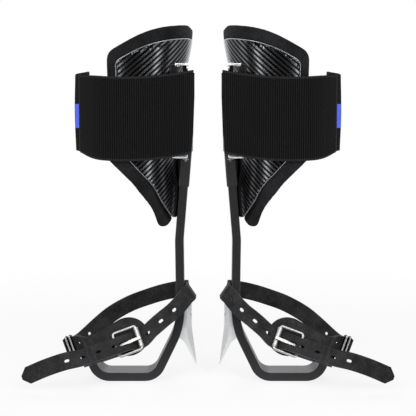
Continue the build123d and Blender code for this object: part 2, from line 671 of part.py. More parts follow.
def strap_route():
    """Stations of the main strap, from its tail through the buckle, round the shank to the back."""
    full = STRAP_WIDTH
    tip = Vector(TAIL_ROUTE[0])
    shoulder = tip + (Vector(TAIL_ROUTE[1]) - tip).normalized() * POINT_LENGTH
    tail = [(tip, TAIL_TILT, POINT_WIDTH), (shoulder, TAIL_TILT, full)]
    tail += [(point, TAIL_TILT, full) for point in TAIL_ROUTE[1:]]
    dive = [(LEVEL_START, BILLET_LEVEL), (DIVE_START, BILLET_LEVEL),
            (DIVE_END, ROLLER_LEVEL), (RISE_START, ROLLER_LEVEL)]
    buckle = [(at_buckle(along, 0, height), ACROSS, full) for along, height in dive]
    front = [(point, tilt, full) for point, tilt in zip(FRONT_ROUTE, FRONT_TILTS)]
    plan = [(WRAP_X - 5.0, -WRAP_Y), (WRAP_X - 1.2, 1.2 - WRAP_Y), (WRAP_X, 4.5 - WRAP_Y),
            (WRAP_X, WRAP_Y - 4.5), (WRAP_X - 1.2, WRAP_Y - 1.2), (WRAP_X - 5.0, WRAP_Y)]
    wrap = [((x, y, height), WRAP_TILT, full) for (x, y), height in zip(plan, WRAP_HEIGHTS)]
    behind = [(BACK_START[0], WRAP_Y + 1.0, BACK_START[1])] + BACK_ROUTE
    back = [(point, (-lean, 0, math.sqrt(1 - lean ** 2)), full) for point, lean in zip(behind, BACK_LEANS)]
    return tail + buckle + front + wrap + back + lateral_end(1)


def lateral_end(side):
    """Stations where a strap closes on the other one at the outer end of the loop."""
    stations = [((x, side * y, z), LATERAL_TILT, STRAP_WIDTH) for x, y, z in END_ROUTE[1 - side:]]
    return stations + [((x, side * SEAM, z), PINCH_TILT, STRAP_WIDTH) for x, z in (PINCH_START, PINCH_END)]


SEAM = STRAP_THICKNESS / 2 + 4 * FIT_CLEARANCE


def route_length(stations):
    """Length of a route from its first station to its last."""
    places = [Vector(station[0]) for station in stations]
    return sum((end - start).length for start, end in zip(places, places[1:]))


def along_route(stations, distance):
    """Plane on a strap's route at a distance from its start, x along and z out of the strap."""
    for start, end in zip(stations, stations[1:]):
        run = Vector(end[0]) - Vector(start[0])
        if distance <= run.length:
            side = Vector(start[1]) + (Vector(end[1]) - Vector(start[1])) * (distance / run.length)
            normal = run.cross(side)
            return Plane(origin=Vector(start[0]) + run.normalized() * distance, x_dir=run, z_dir=normal)
        distance -= run.length


TONGUE_LEVEL = FRONT_BAR[1] + ROLLER_DIAMETER / 2 + STRAP_CLEARANCE + TONGUE_THICKNESS / 2
TONGUE_RISE = math.degrees(math.atan2(TONGUE_LEVEL, FRONT_BAR[0]))
LEVEL_START = -44.0
DIVE_START = BUCKLE_LENGTH / 2 - 1.5
DIVE_END = BUCKLE_LENGTH - 4.5
RISE_START = BUCKLE_LENGTH + 2.5
DIVE_SLOPE = (BILLET_LEVEL - ROLLER_LEVEL) / (DIVE_END - DIVE_START)
TONGUE_CROSSING = (BILLET_LEVEL + DIVE_START * DIVE_SLOPE) / (tan(TONGUE_RISE) + DIVE_SLOPE)
SLOT_CENTRE = TONGUE_CROSSING - TONGUE_SLOT_SETBACK
SLOT_END = SLOT_CENTRE + TONGUE_SLOT_LENGTH / 2


def hole_distances(stations):
    """Places of the strap's holes: a row from the slot's loaded end, and two near the far end."""
    dive_station = len(TAIL_ROUTE) + 2
    row = route_length(stations[:dive_station + 1]) + (SLOT_END - DIVE_START) * math.hypot(1, DIVE_SLOPE)
    distances = []
    for step in range(1, HOLES_EACH_WAY + 1):
        distances += [row - step * HOLE_PITCH, row + step * HOLE_PITCH]
    return distances + [route_length(stations) - place for place in END_HOLES]


def ankle_strap():
    """Main strap with its row of oval holes and the slot that the tongue comes through."""
    stations = strap_route()
    oval = extrude(SlotOverall(HOLE_LENGTH, HOLE_WIDTH), amount=2 * STRAP_THICKNESS, both=True)
    opening = SlotOverall(TONGUE_SLOT_LENGTH, TONGUE_SLOT_WIDTH)
    slot = extrude(opening, amount=4 * STRAP_THICKNESS, both=True)
    cuts = [along_route(stations, distance) * oval for distance in hole_distances(stations)]
    cuts.append(BUCKLE_PLANE * Pos(SLOT_CENTRE, 0, 0) * slot)
    return strap_loft(stations, STRAP_THICKNESS) - cuts


def backing_strap():
    """Rounded pad behind the buckle, running back as a strap to the outer end of the loop."""
    pad = make_hull(((Pos(*PAD_CENTRE) * Circle(PAD_RADIUS)).edges()
                     + (Pos(*PAD_NECK) * Circle(STRAP_WIDTH / 2)).edges()))
    plate = BUCKLE_PLANE * Pos(0, 0, PAD_LEVEL) * extrude(pad, amount=STRAP_THICKNESS / 2, both=True)
    neck = [(at_buckle(PAD_NECK[0] + 12.0, PAD_NECK[1], PAD_LEVEL), ACROSS, STRAP_WIDTH),
            (at_buckle(PAD_NECK[0] - 1.0, PAD_NECK[1], PAD_LEVEL), ACROSS, STRAP_WIDTH)]
    strap = plate + strap_loft(neck + lateral_end(-1), RUN_THICKNESS)
    for place in chape_rivet_places():
        strap -= BUCKLE_PLANE * place * Cylinder(RIVET_DIAMETER / 2 + FIT_CLEARANCE, 8 * STRAP_THICKNESS)
    return strap


def buckle_chape():
    """Leather folded round the heel bar, slit for the tongue, with a tail under the keeper."""
    fold = make_hull((Circle(FOLD_OUTER).edges()
                      + (Pos(-CHAPE_LENGTH, (CHAPE_TAIL_RISE - FOLD_OUTER) / 2)
                         * Rectangle(1.0, CHAPE_TAIL_RISE + FOLD_OUTER)).edges()))
    fold -= Circle(FOLD_INNER)
    tail_length = CHAPE_TAIL - CHAPE_LENGTH
    tail_middle = CHAPE_TAIL_RISE - CHAPE_THICKNESS / 2
    tail = Pos(-CHAPE_LENGTH - tail_length / 2, tail_middle) * Rectangle(tail_length, CHAPE_THICKNESS)
    profile = Plane(origin=(0, 0, 0), x_dir=(1, 0, 0), z_dir=(0, -1, 0)) * (fold + tail)
    body = extrude(profile, amount=STRAP_WIDTH / 2, both=True)
    slit = Box(2 * (FOLD_OUTER + TONGUE_EYE_WIDTH), TONGUE_EYE_WIDTH + 4 * STRAP_CLEARANCE, 4 * FOLD_OUTER)
    body -= Pos(FOLD_OUTER + TONGUE_EYE_WIDTH - 6.0, 0, 0) * slit
    for place in chape_rivet_places():
        body -= place * Cylinder(RIVET_DIAMETER / 2 + FIT_CLEARANCE, 8 * STRAP_THICKNESS)
    return BUCKLE_PLANE * body


def chape_rivet_places():
    return [Pos(-CHAPE_LENGTH * 0.72, side * STRAP_WIDTH / 4, 0) for side in (-1, 1)]


def buckle_frame():
    """Wire frame: heel bar, two sides and the front bar that carries the roller."""
    half = BUCKLE_WIDTH / 2
    corner = WIRE_DIAMETER
    low = BUCKLE_SHIFT - half
    high = BUCKLE_SHIFT + half
    loop = FilletPolyline((0, low), (BUCKLE_LENGTH, low), (BUCKLE_LENGTH, high), (0, high), radius=corner,
                          close=True)
    start = Plane(origin=loop @ 0, z_dir=loop % 0)
    return BUCKLE_PLANE * Rot(0, -BUCKLE_TILT, 0) * sweep(start * Circle(WIRE_RADIUS), path=loop)


def buckle_roller():
    """Thin tube that turns on the frame's front bar."""
    tube = Cylinder(ROLLER_DIAMETER / 2, ROLLER_LENGTH)
    tube -= Cylinder(WIRE_RADIUS + PIN_CLEARANCE, ROLLER_LENGTH)
    return BUCKLE_PLANE * Pos(FRONT_BAR[0], BUCKLE_SHIFT, FRONT_BAR[1]) * Rot(90, 0, 0) * tube


def buckle_tongue():
    """Tongue: an eye round the heel bar and a tapered pin that rests on the roller."""
    eye_radius = WIRE_RADIUS + PIN_CLEARANCE
    eye = Rot(90, 0, 0) * Cylinder(eye_radius + TONGUE_THICKNESS / 2, TONGUE_EYE_WIDTH)
    length = BUCKLE_LENGTH + TONGUE_OVERHANG
    pin = Pos(length / 2, 0, 0) * Box(length, TONGUE_WIDTH, TONGUE_THICKNESS)
    pin = fillet(pin.faces().sort_by(Axis.X)[-1].edges(), TONGUE_THICKNESS * 0.3)
    bore = Rot(90, 0, 0) * Cylinder(eye_radius, 2 * TONGUE_EYE_WIDTH)
    return BUCKLE_PLANE * Rot(0, -TONGUE_RISE, 0) * (eye + pin - bore)


def strap_keeper():
    """Leather loop that slides along the chape and the strap's tail."""
    bottom = CHAPE_TAIL_RISE - CHAPE_THICKNESS - KEEPER_CLEARANCE
    top = BILLET_LEVEL + STRAP_THICKNESS / 2 + KEEPER_CLEARANCE
    inner_width = STRAP_WIDTH + 2 * KEEPER_CLEARANCE
    hole = Box(2 * KEEPER_LENGTH, inner_width, top - bottom)
    loop = Box(KEEPER_LENGTH, inner_width + 2 * KEEPER_WALL, top - bottom + 2 * KEEPER_WALL)
    loop = fillet(loop.edges().filter_by(Axis.X), KEEPER_WALL)
    return BUCKLE_PLANE * Pos(KEEPER_CENTRE, 0, (top + bottom) / 2) * (loop - hole)


def clasp_plane():
    """Frame of the clasp, halfway along the pinched ends."""
    start = Vector(PINCH_START[0], 0, PINCH_START[1])
    end = Vector(PINCH_END[0], 0, PINCH_END[1])
    return Plane(origin=(start + end) / 2, x_dir=end - start, z_dir=(0, -1, 0))


def end_clasp():
    """Steel loop with two raised ribs that holds the two straps together at the outer end."""
    gap_height = 2 * SEAM + STRAP_THICKNESS + 4 * FIT_CLEARANCE
    gap_width = STRAP_WIDTH + 2 * STRAP_CLEARANCE
    loop = Box(CLASP_LENGTH, gap_width + 2 * CLASP_WALL, gap_height + 2 * CLASP_WALL)
    for side in (-1, 1):
        rib = Box(2 * CLASP_RIB, gap_width + 2 * (CLASP_WALL + CLASP_RIB),
                  gap_height + 2 * (CLASP_WALL + CLASP_RIB))
        loop += Pos(side * CLASP_LENGTH / 4, 0, 0) * fillet(rib.edges().filter_by(Axis.X), CLASP_WALL)
    return clasp_plane() * (loop - Box(2 * CLASP_LENGTH, gap_width, gap_height))


def chape_rivets():
    """Two rivets through the chape and the backing pad."""
    back = PAD_LEVEL - STRAP_THICKNESS / 2
    front = 1.6
    stem = Pos(0, 0, back) * Cylinder(RIVET_DIAMETER / 2, front - back, align=RISING)
    return [BUCKLE_PLANE * place * stem for place in chape_rivet_places()]


def climber():
    """Every node of one climber, by name."""
    frame = frame_bar()
    for height in BOLT_HEIGHTS:
        frame -= bolt(height, FIT_CLEARANCE)
    nodes = {
        "stirrup_frame": frame,
        "gaff": gaff(frame),
        "gaff_bolts": [bolt(height) for height in BOLT_HEIGHTS],
        "height_sleeve": height_sleeve(),
        "sleeve_screws": [sleeve_screw(place) for place in SCREW_PLACES],
        "cuff_shell": cuff_shell(),
        "cuff_liner": cuff_liner(),
        "cuff_bracket": cuff_bracket(),
        "bracket_rivets": bracket_rivets(),
        "front_strap_bar": strap_bar(-1),
        "rear_strap_bar": strap_bar(1),
        "front_bar_clip": bar_clip(-1),
        "rear_bar_clip": bar_clip(1),
        "front_band": front_band(),
        "rear_band": rear_band(),
        "closure_patch": closure_patch(),
        "label_tab": label_tab(),
        "ankle_strap": ankle_strap(),
        "backing_strap": backing_strap(),
        "buckle_chape": buckle_chape(),
        "chape_rivets": chape_rivets(),
        "buckle_frame": buckle_frame(),
        "buckle_roller": buckle_roller(),
        "buckle_tongue": buckle_tongue(),
        "strap_keeper": strap_keeper(),
        "end_clasp": end_clasp(),
    }
    return nodes


def as_compound(pieces):
    """One compound of the separate solids of a node."""
    if not isinstance(pieces, list):
        pieces = [pieces]
    return Compound(children=[solid for piece in pieces for solid in piece.solids()])


os.makedirs("parts", exist_ok=True)
for name, pieces in climber().items():
    left = Pos(-LEG_SPACING / 2, 0, 0) * as_compound(pieces)
    export_step(left, f"parts/left_{name}.step")
    export_step(mirror(left, about=Plane.YZ), f"parts/right_{name}.step")
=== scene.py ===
"""Looks of a mirrored pair of tree climbing spikes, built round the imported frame.

Objects are in metres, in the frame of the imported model: X across the pair, -Y the front of
the leg and Z up. Soft pieces and reshaped fittings are made for the left climber, in its own
millimetres with the leg axis on x = 0, then moved out to its place and mirrored for the right
climber.
"""

from __future__ import annotations

import json
import logging
import math
from bisect import bisect_right
from collections.abc import Callable, Iterator
from contextlib import contextmanager
from dataclasses import dataclass, field
from enum import Enum

import bmesh
import bpy
from mathutils import Matrix, Vector


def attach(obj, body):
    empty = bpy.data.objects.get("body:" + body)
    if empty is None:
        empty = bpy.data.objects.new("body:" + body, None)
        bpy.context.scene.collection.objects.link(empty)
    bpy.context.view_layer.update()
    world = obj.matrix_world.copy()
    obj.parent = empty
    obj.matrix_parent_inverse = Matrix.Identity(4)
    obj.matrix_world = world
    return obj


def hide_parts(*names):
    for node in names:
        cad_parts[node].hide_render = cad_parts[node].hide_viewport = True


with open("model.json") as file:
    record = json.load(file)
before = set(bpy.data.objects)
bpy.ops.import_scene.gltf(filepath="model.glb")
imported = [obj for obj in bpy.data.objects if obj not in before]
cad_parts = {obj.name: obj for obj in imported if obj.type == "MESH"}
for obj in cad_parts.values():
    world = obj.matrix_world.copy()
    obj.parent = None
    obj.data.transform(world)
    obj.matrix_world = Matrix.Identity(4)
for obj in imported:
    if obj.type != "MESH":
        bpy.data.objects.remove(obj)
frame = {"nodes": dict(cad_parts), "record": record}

LOG = logging.getLogger("climbing_spikes")
MM = 0.001
HALF_SPACING = 101.4

Piece = bpy.types.Object
Socket = bpy.types.NodeSocket
Inputs = dict[int | str, object]
Pair = tuple[float, float]
Triple = tuple[float, float, float]
Station = tuple[Vector, Vector]


class Side(Enum):
    """Which climber of the pair a piece belongs to."""

    LEFT = "left"
    RIGHT = "right"

    def name_of(self, piece: str) -> str:
        """Name of this climber's node, body or piece."""
        return f"{self.value}_{piece}"


class Slot(Enum):
    """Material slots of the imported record."""

    ANODISED = "anodised_aluminium"
    GAFF = "forged_steel"
    FASTENER = "black_fasteners"
    SLEEVE = "sleeve_steel"
    CARBON = "carbon_laminate"
    FOAM = "foam_liner"
    STAINLESS = "stainless_sheet"
    RIVET = "bright_rivets"
    ELASTIC = "elastic_webbing"
    HOOK = "hook_tape"
    LABEL = "woven_label"
    LEATHER = "strap_leather"
    NICKEL = "nickel_plate"


# Measures

def place(x: float, y: float, z: float) -> Vector:
    """Point of the left climber in metres, from its own millimetres."""
    return Vector(((x - HALF_SPACING) * MM, y * MM, z * MM))


def local(spot: Vector) -> Vector:
    """Point of the left climber in its own millimetres, from metres."""
    return Vector((spot.x / MM + HALF_SPACING, spot.y / MM, spot.z / MM))


def share_of(value: float, start: float, end: float) -> float:
    """How far a value has gone from a start to an end, from zero to one."""
    return min(max((value - start) / (end - start), 0.0), 1.0)


def eased(share: float) -> float:
    """Share from zero to one that starts and ends slowly."""
    return share * share * (3 - 2 * share)


def bell(value: float, middle: float, reach: float) -> float:
    """Rise and fall round a middle: one there, and zero from a reach on either side of it."""
    return max(1 - ((value - middle) / reach) ** 2, 0.0)


def linear(colour: str) -> tuple[float, float, float, float]:
    """Turn an sRGB hex colour to linear.

    Args:
        colour: Six hex digits after a hash.

    Returns:
        Red, green, blue and an alpha of one.
    """
    parts = [int(colour[start:start + 2], 16) / 255 for start in (1, 3, 5)]
    parts = [part / 12.92 if part <= 0.04045 else ((part + 0.055) / 1.055) ** 2.4 for part in parts]
    return (*parts, 1.0)


# Modelling bench

def make_active(obj: Piece) -> None:
    """Select one object alone and make it the active one.

    Args:
        obj: The object.
    """
    bpy.ops.object.select_all(action="DESELECT")
    obj.select_set(True)
    bpy.context.view_layer.objects.active = obj


@contextmanager
def editing(obj: Piece, mode: str = "FACE", test: Callable[[Vector], bool] | None = None) -> Iterator[None]:
    """Open one object alone in edit mode, with all of its mesh or some of its vertices selected.

    Args:
        obj: The object to edit.
        mode: What is selected: VERT, EDGE or FACE.
        test: What tells from a vertex's place whether it is selected, or none to select all.

    Returns:
        A block in which the edit tools work on that selection.
    """
    make_active(obj)
    bpy.ops.object.mode_set(mode="EDIT")
    bpy.ops.mesh.select_mode(type=mode)
    bpy.ops.mesh.select_all(action="DESELECT" if test else "SELECT")
    if test:
        mesh = bmesh.from_edit_mesh(obj.data)
        for vertex in mesh.verts:
            vertex.select_set(test(vertex.co))
        bmesh.update_edit_mesh(obj.data)
    yield
    bpy.ops.object.mode_set(mode="OBJECT")


def finish_with(obj: Piece, kind: str, **settings: object) -> None:
    """Add a modifier to an object and apply it.

    Args:
        obj: The object to change.
        kind: Blender's name for the modifier.
        settings: The modifier's own settings.
    """
    modifier = obj.modifiers.new(kind.lower(), kind)
    for name, value in settings.items():
        setattr(modifier, name, value)
    make_active(obj)
    bpy.ops.object.modifier_apply(modifier=modifier.name)


def added(name: str) -> Piece:
    """Name the object that an operator has just added.

    Args:
        name: The name for it and for its mesh.

    Returns:
        That object.
    """
    obj = bpy.context.view_layer.objects.active
    obj.name = name
    obj.data.name = name
    return obj


def primitive(name: str, operator: Callable[..., object], **sizes: object) -> Piece:
    """Add a simple shape.

    Args:
        name: The new object's name.
        operator: What adds the shape.
        sizes: The shape's own sizes.

    Returns:
        The new object.
    """
    bpy.ops.object.select_all(action="DESELECT")
    operator(**sizes)
    return added(name)


def put(name: str, data: bpy.types.ID) -> Piece:
    """Put a new object in the scene.

    Args:
        name: The object's name.
        data: What it shows.

    Returns:
        The object.
    """
    obj = bpy.data.objects.new(name, data)
    bpy.context.scene.collection.objects.link(obj)
    return obj


def face_out(piece: Piece) -> None:
    """Turn all faces of a piece outwards."""
    with editing(piece):
        bpy.ops.mesh.normals_make_consistent(inside=False)


def weld(piece: Piece, gap: float) -> None:
    """Merge vertices of a piece that lie closer than a gap."""
    with editing(piece, "VERT"):
        bpy.ops.mesh.remove_doubles(threshold=gap)


def smooth_faces(piece: Piece, degrees: float = 40) -> None:
    """Shade a piece smooth, except over edges sharper than an angle."""
    make_active(piece)
    bpy.ops.object.shade_smooth_by_angle(angle=math.radians(degrees))


def round_edges(piece: Piece, radius: float) -> None:
    """Round the sharp edges of a piece."""
    finish_with(piece, "BEVEL", width=radius, segments=2, limit_method="ANGLE",
                angle_limit=math.radians(60))


def join(first: Piece, others: list[Piece]) -> Piece:
    """Join objects.

    Args:
        first: The object that the others become part of.
        others: The other objects.

    Returns:
        The first object.
    """
    make_active(first)
    for other in others:
        other.select_set(True)
    bpy.ops.object.join()
    return first


def flat_strip(name: str, length: float, width: float, step: float, rows: int) -> Piece:
    """Lay out a flat strip in millimetres: x from its start, y across and z out of it.

    Args:
        name: The piece's name.
        length: Its cut length.
        width: Its cut width.
        step: How far apart its rows of vertices are along the length.
        rows: How many faces lie across it.

    Returns:
        The strip, still without thickness.
    """
    strip = primitive(name, bpy.ops.mesh.primitive_grid_add, x_subdivisions=round(length / step),
                      y_subdivisions=rows, size=1)
    with editing(strip):
        bpy.ops.transform.resize(value=(length, width, 1))
        bpy.ops.transform.translate(value=(length / 2, 0, 0))
    return strip


def thicken(strip: Piece, thickness: float, rounding: float) -> None:
    """Give a flat strip its thickness and round its cut edges by a radius."""
    finish_with(strip, "SOLIDIFY", thickness=thickness, offset=0)
    round_edges(strip, rounding)


def punch_out(strip: Piece, thickness: float, holes: list[Triple]) -> None:
    """Cut oval holes in a strip, each with a round punch that is drawn out both ways along x.

    Args:
        strip: A flat strip with its thickness.
        thickness: That thickness.
        holes: Length, width and place along the strip of each hole.
    """
    for length, width, along in holes:
        punch = primitive("punch", bpy.ops.mesh.primitive_cylinder_add, vertices=28, radius=width / 2,
                          depth=4 * thickness, location=(along, 0, 0))
        bpy.ops.object.transform_apply(location=True)
        for way in (-1, 1):
            with editing(punch, "VERT", lambda spot: (spot.x - along) * way > width * 0.01):
                bpy.ops.transform.translate(value=(way * (length - width) / 2, 0, 0))
        finish_with(strip, "BOOLEAN", operation="DIFFERENCE", solver="EXACT", object=punch)
        bpy.data.objects.remove(punch)


def chart(piece: Piece, spread: Callable[[Vector], Vector | Pair]) -> None:
    """Give a piece a UV map from the places of its vertices.

    Args:
        piece: A piece in millimetres, before it is laid in place.
        spread: What gives the place on the map.
    """
    mesh = piece.data
    layer = mesh.uv_layers.get("UVMap") or mesh.uv_layers.new(name="UVMap")
    for corner in mesh.loops:
        layer.data[corner.index].uv = spread(mesh.vertices[corner.vertex_index].co)


def mark(piece: Piece, name: str, level: Callable[[Vector], float]) -> None:
    """Mark the vertices of a piece for its finish, by their places.

    Args:
        piece: The piece.
        name: The mark's name.
        level: What gives the level of the mark.
    """
    layer = piece.data.attributes.new(name, "FLOAT", "POINT")
    for vertex in piece.data.vertices:
        layer.data[vertex.index].value = level(vertex.co)


def map_flat(piece: Piece, thickness: float) -> None:
    """Keep a flat piece's own millimetres as its UV map, and mark what lies between its faces as cut."""
    chart(piece, lambda spot: spot.xy)
    mark(piece, "cut_edge", lambda spot: float(abs(spot.z) < thickness * 0.49))


def mirrored(piece: Piece, name: str) -> Piece:
    """Copy a left piece for the right climber, with its faces turned outwards again.

    Args:
        piece: A finished piece of the left climber.
        name: The copy's name.

    Returns:
        The copy, with a mesh of its own.
    """
    copy = put(name, piece.data.copy())
    copy.data.name = name
    copy.scale.x = -1
    make_active(copy)
    bpy.ops.object.transform_apply(scale=True)
    face_out(copy)
    return copy


def copied(node: str) -> Piece:
    """Copy a left node into a new piece, with its loose triangles merged.

    Args:
        node: The node's name without its side.

    Returns:
        The piece, with a mesh of its own.
    """
    piece = put(node, frame["nodes"][Side.LEFT.name_of(node)].data.copy())
    weld(piece, gap=0.01 * MM)
    return piece


# Lines

@dataclass
class Path:
    """A line with a width direction at each of its points, read by distance along it.

    Attributes:
        points: Places along the line, in millimetres of the left climber.
        widths: Width direction at each of them.
        marks: Distance of each of them from the start.
    """

    points: list[Vector]
    widths: list[Vector]
    marks: list[float] = field(init=False)

    def __post_init__(self) -> None:
        """Measure the line."""
        self.marks = [0.0]
        for start, end in zip(self.points, self.points[1:]):
            self.marks.append(self.marks[-1] + (end - start).length)

    @property
    def length(self) -> float:
        """Length of the whole line."""
        return self.marks[-1]

    def heading(self, index: int) -> Vector:
        """Direction of travel at a point of the line.

        Args:
            index: Number of the point.

        Returns:
            A direction of length one.
        """
        before = self.points[max(index - 1, 0)]
        after = self.points[min(index + 1, len(self.points) - 1)]
        return (after - before).normalized()

    def at(self, distance: float) -> tuple[Vector, Vector, Vector]:
        """Read the line at a distance from its start.

        Args:
            distance: How far along the line; just off either end is allowed.

        Returns:
            The place there, the width direction and the direction out of the strip.
        """
        index = min(max(bisect_right(self.marks, distance) - 1, 0), len(self.points) - 2)
        share = (distance - self.marks[index]) / (self.marks[index + 1] - self.marks[index])
        spot = self.points[index].lerp(self.points[index + 1], share)
        inside = share_of(share, 0, 1)
        travel = self.heading(index).lerp(self.heading(index + 1), inside).normalized()
        width = self.widths[index].lerp(self.widths[index + 1], inside)
        width = (width - travel * width.dot(travel)).normalized()
        return spot, width, travel.cross(width)

    def lay(self, piece: Piece) -> None:
        """Lay a flat piece along the line, in metres: its x runs along and its y across.

        Args:
            piece: A flat piece in millimetres.
        """
        for vertex in piece.data.vertices:
            spot, width, out = self.at(vertex.co.x)
            vertex.co = place(*(spot + width * vertex.co.y + out * vertex.co.z))


def smooth_path(stations: list[Station], step: float = 1.0) -> Path:
    """Draw one even line through stations, as a strap lies that is drawn through them.

    Args:
        stations: Places and width directions, in millimetres.
        step: How far apart the line's points are.

    Returns:
        The line, which passes through every station.
    """
    spots = [spot for spot, _ in stations]
    runs = [(end - start).length for start, end in zip(spots, spots[1:])]
    chords = [(end - start) / run for start, end, run in zip(spots, spots[1:], runs)]
    slopes = [chords[0]]
    for before, after, run_before, run_after in zip(chords, chords[1:], runs, runs[1:]):
        slopes.append((before * run_after + after * run_before) / (run_before + run_after))
    slopes.append(chords[-1])
    points: list[Vector] = []
    widths: list[Vector] = []
    for index, run in enumerate(runs):
        count = max(round(run / step), 2)
        last = index == len(runs) - 1
        for number in range(count + 1 if last else count):
            share = number / count
            bend = slopes[index] * (share * (1 - share) ** 2)
            bend -= slopes[index + 1] * (share ** 2 * (1 - share))
            points.append(spots[index].lerp(spots[index + 1], eased(share)) + bend * run)
            widths.append(stations[index][1].lerp(stations[index + 1][1], eased(share)))
    return Path(points, widths)


def rounded_line(corners: list[Vector | Pair], radii: list[float]) -> list[Vector]:
    """Draw straight runs joined by arcs.

    Args:
        corners: The ends and corners of the line.
        radii: Radius of the arc at each inner corner.

    Returns:
        Points along it, at most a few millimetres apart.
    """
    ends = [Vector(corner) for corner in corners]
    points = [ends[0]]
    for before, corner, after, radius in zip(ends, ends[1:], ends[2:], radii):
        inward = (corner - before).normalized()
        outward = (after - corner).normalized()
        turn = math.atan2(inward.x * outward.y - inward.y * outward.x, inward.dot(outward))
        begin = corner - inward * radius * math.tan(abs(turn) / 2)
        aside = Vector((-inward.y, inward.x)) * math.copysign(1, turn)
        run_to(points, begin)
        steps = max(round(abs(turn) * radius / 1.5), 5)
        for number in range(1, steps + 1):
            angle = abs(turn) * number / steps
            points.append(begin + (inward * math.sin(angle) + aside * (1 - math.cos(angle))) * radius)
    run_to(points, ends[-1])
    return points


def run_to(points: list[Vector], end: Vector, step: float = 3.0) -> None:
    """Carry a line on in a straight run.

    Args:
        points: The line so far, which grows.
        end: Where the run ends.
        step: How far apart its points are at most.
    """
    start = points[-1]
    count = max(math.ceil((end - start).length / step), 1)
    points.extend(start.lerp(end, number / count) for number in range(1, count + 1))


# Finishes

class Graph:
    """Node graph of a material or of the world, which grows one node at a time."""

    def __init__(self, owner: bpy.types.Material | bpy.types.World) -> None:
        """Open the graph of a material or of the world."""
        owner.use_nodes = True
        self.tree = owner.node_tree

    def fill(self, sockets: bpy.types.NodeInputs, inputs: Inputs | tuple[object, ...]) -> None:
        """Set the inputs of a node.

        Args:
            sockets: The node's inputs.
            inputs: Values to set and sockets to link, by the input's name or number, or in order.
        """
        for name, value in inputs.items() if isinstance(inputs, dict) else enumerate(inputs):
            if isinstance(value, Socket):
                self.tree.links.new(value, sockets[name])
            else:
                sockets[name].default_value = value

    def add(self, kind: str, inputs: Inputs | tuple[object, ...] = (), output: int | str = 0,
            **settings: object) -> Socket:
        """Add a node.

        Args:
            kind: Blender's name for the node, after ShaderNode.
            inputs: Values to set and sockets to link, by the input's name or number, or in order.
            output: Which output is wanted.
            settings: The node's own settings.

        Returns:
            That output, whose node gives the others.
        """
        node = self.tree.nodes.new("ShaderNode" + kind)
        for name, value in settings.items():
            setattr(node, name, value)
        self.fill(node.inputs, inputs)
        return node.outputs[output]

    def end(self, node: str, inputs: Inputs) -> None:
        """Set the inputs of a node that the graph had from the start, such as its surface shader."""
        self.fill(self.tree.nodes[node].inputs, inputs)


@dataclass(frozen=True)
class Finish:
    """A real material and how its surface was made.

    Attributes:
        name: Common name of the material and its process.
        colour: Its main colour.
        shade: A second colour that its pattern turns to.
        roughness: Its mean roughness.
        metallic: One for bare metal.
        specular: Specular level, lower for open fabrics.
    """

    name: str
    colour: str
    shade: str
    roughness: float
    metallic: float = 0.0
    specular: float = 0.5

    def material(self) -> bpy.types.Material:
        """Build the material.

        Returns:
            A node material with this finish's colours and pattern.
        """
        material = bpy.data.materials.new(self.name)
        graph = Graph(material)
        plain = {"Base Color": linear(self.colour), "Roughness": self.roughness,
                 "Metallic": self.metallic, "Specular IOR Level": self.specular}
        graph.end("Principled BSDF", plain)
        graph.end("Principled BSDF", self.dress(graph))
        return material

    def dress(self, graph: Graph) -> Inputs:
        """Draw the pattern of this finish; a plain finish has none.

        Args:
            graph: The material's node graph.

        Returns:
            What the surface shader's inputs are set to or linked with.
        """
        return {}

    def two_tone(self, graph: Graph, share: Socket) -> Socket:
        """Mix from the main colour to the second one by a pattern."""
        tones = {0: share, 6: linear(self.colour), 7: linear(self.shade)}
        return graph.add("Mix", tones, 2, data_type="RGBA")


@dataclass(frozen=True)
class SatinMetal(Finish):
    """Metal or coated metal with fine grit, worn a little lighter along its edges.

    Attributes:
        grit_mm: Size of the grit.
        stretch: How much longer the marks are along x, y and z, as left by a belt or brush.
        relief_mm: Depth of the marks.
        spread: How far the roughness varies.
        wear_mm: How far wear reaches from an edge, or none.
    """

    grit_mm: float = 0.5
    stretch: Triple = (1.0, 1.0, 1.0)
    relief_mm: float = 0.02
    spread: float = 0.08
    wear_mm: float = 0.0

    def dress(self, graph: Graph) -> Inputs:
        """Draw the marks of the process and the wear along edges.

        Args:
            graph: The material's node graph.

        Returns:
            What the surface shader's inputs are set to or linked with.
        """
        scale = tuple(1 / (self.grit_mm * MM * part) for part in self.stretch)
        spot = graph.add("TexCoord", output="Object")
        spot = graph.add("Mapping", {"Vector": spot, "Scale": scale})
        marks = graph.add("TexNoise", {"Vector": spot, "Scale": 1.0, "Detail": 3.0})
        rough = (self.roughness - self.spread, self.roughness + self.spread)
        inputs = {"Roughness": graph.add("MapRange", (marks, 0.3, 0.7, *rough)),
                  "Normal": graph.add("Bump", {"Height": marks, "Distance": self.relief_mm * MM})}
        if self.wear_mm:
            edge = graph.add("Bevel", {"Radius": self.wear_mm * MM}, samples=6)
            face = graph.add("NewGeometry", output="Normal")
            level = graph.add("VectorMath", (edge, face), 1, operation="DOT_PRODUCT")
            worn = graph.add("MapRange", (level, 0.98, 0.8, 0.0, 0.8))
            worn = graph.add("Math", (worn, marks), operation="MULTIPLY")
            inputs["Base Color"] = self.two_tone(graph, worn)
        return inputs


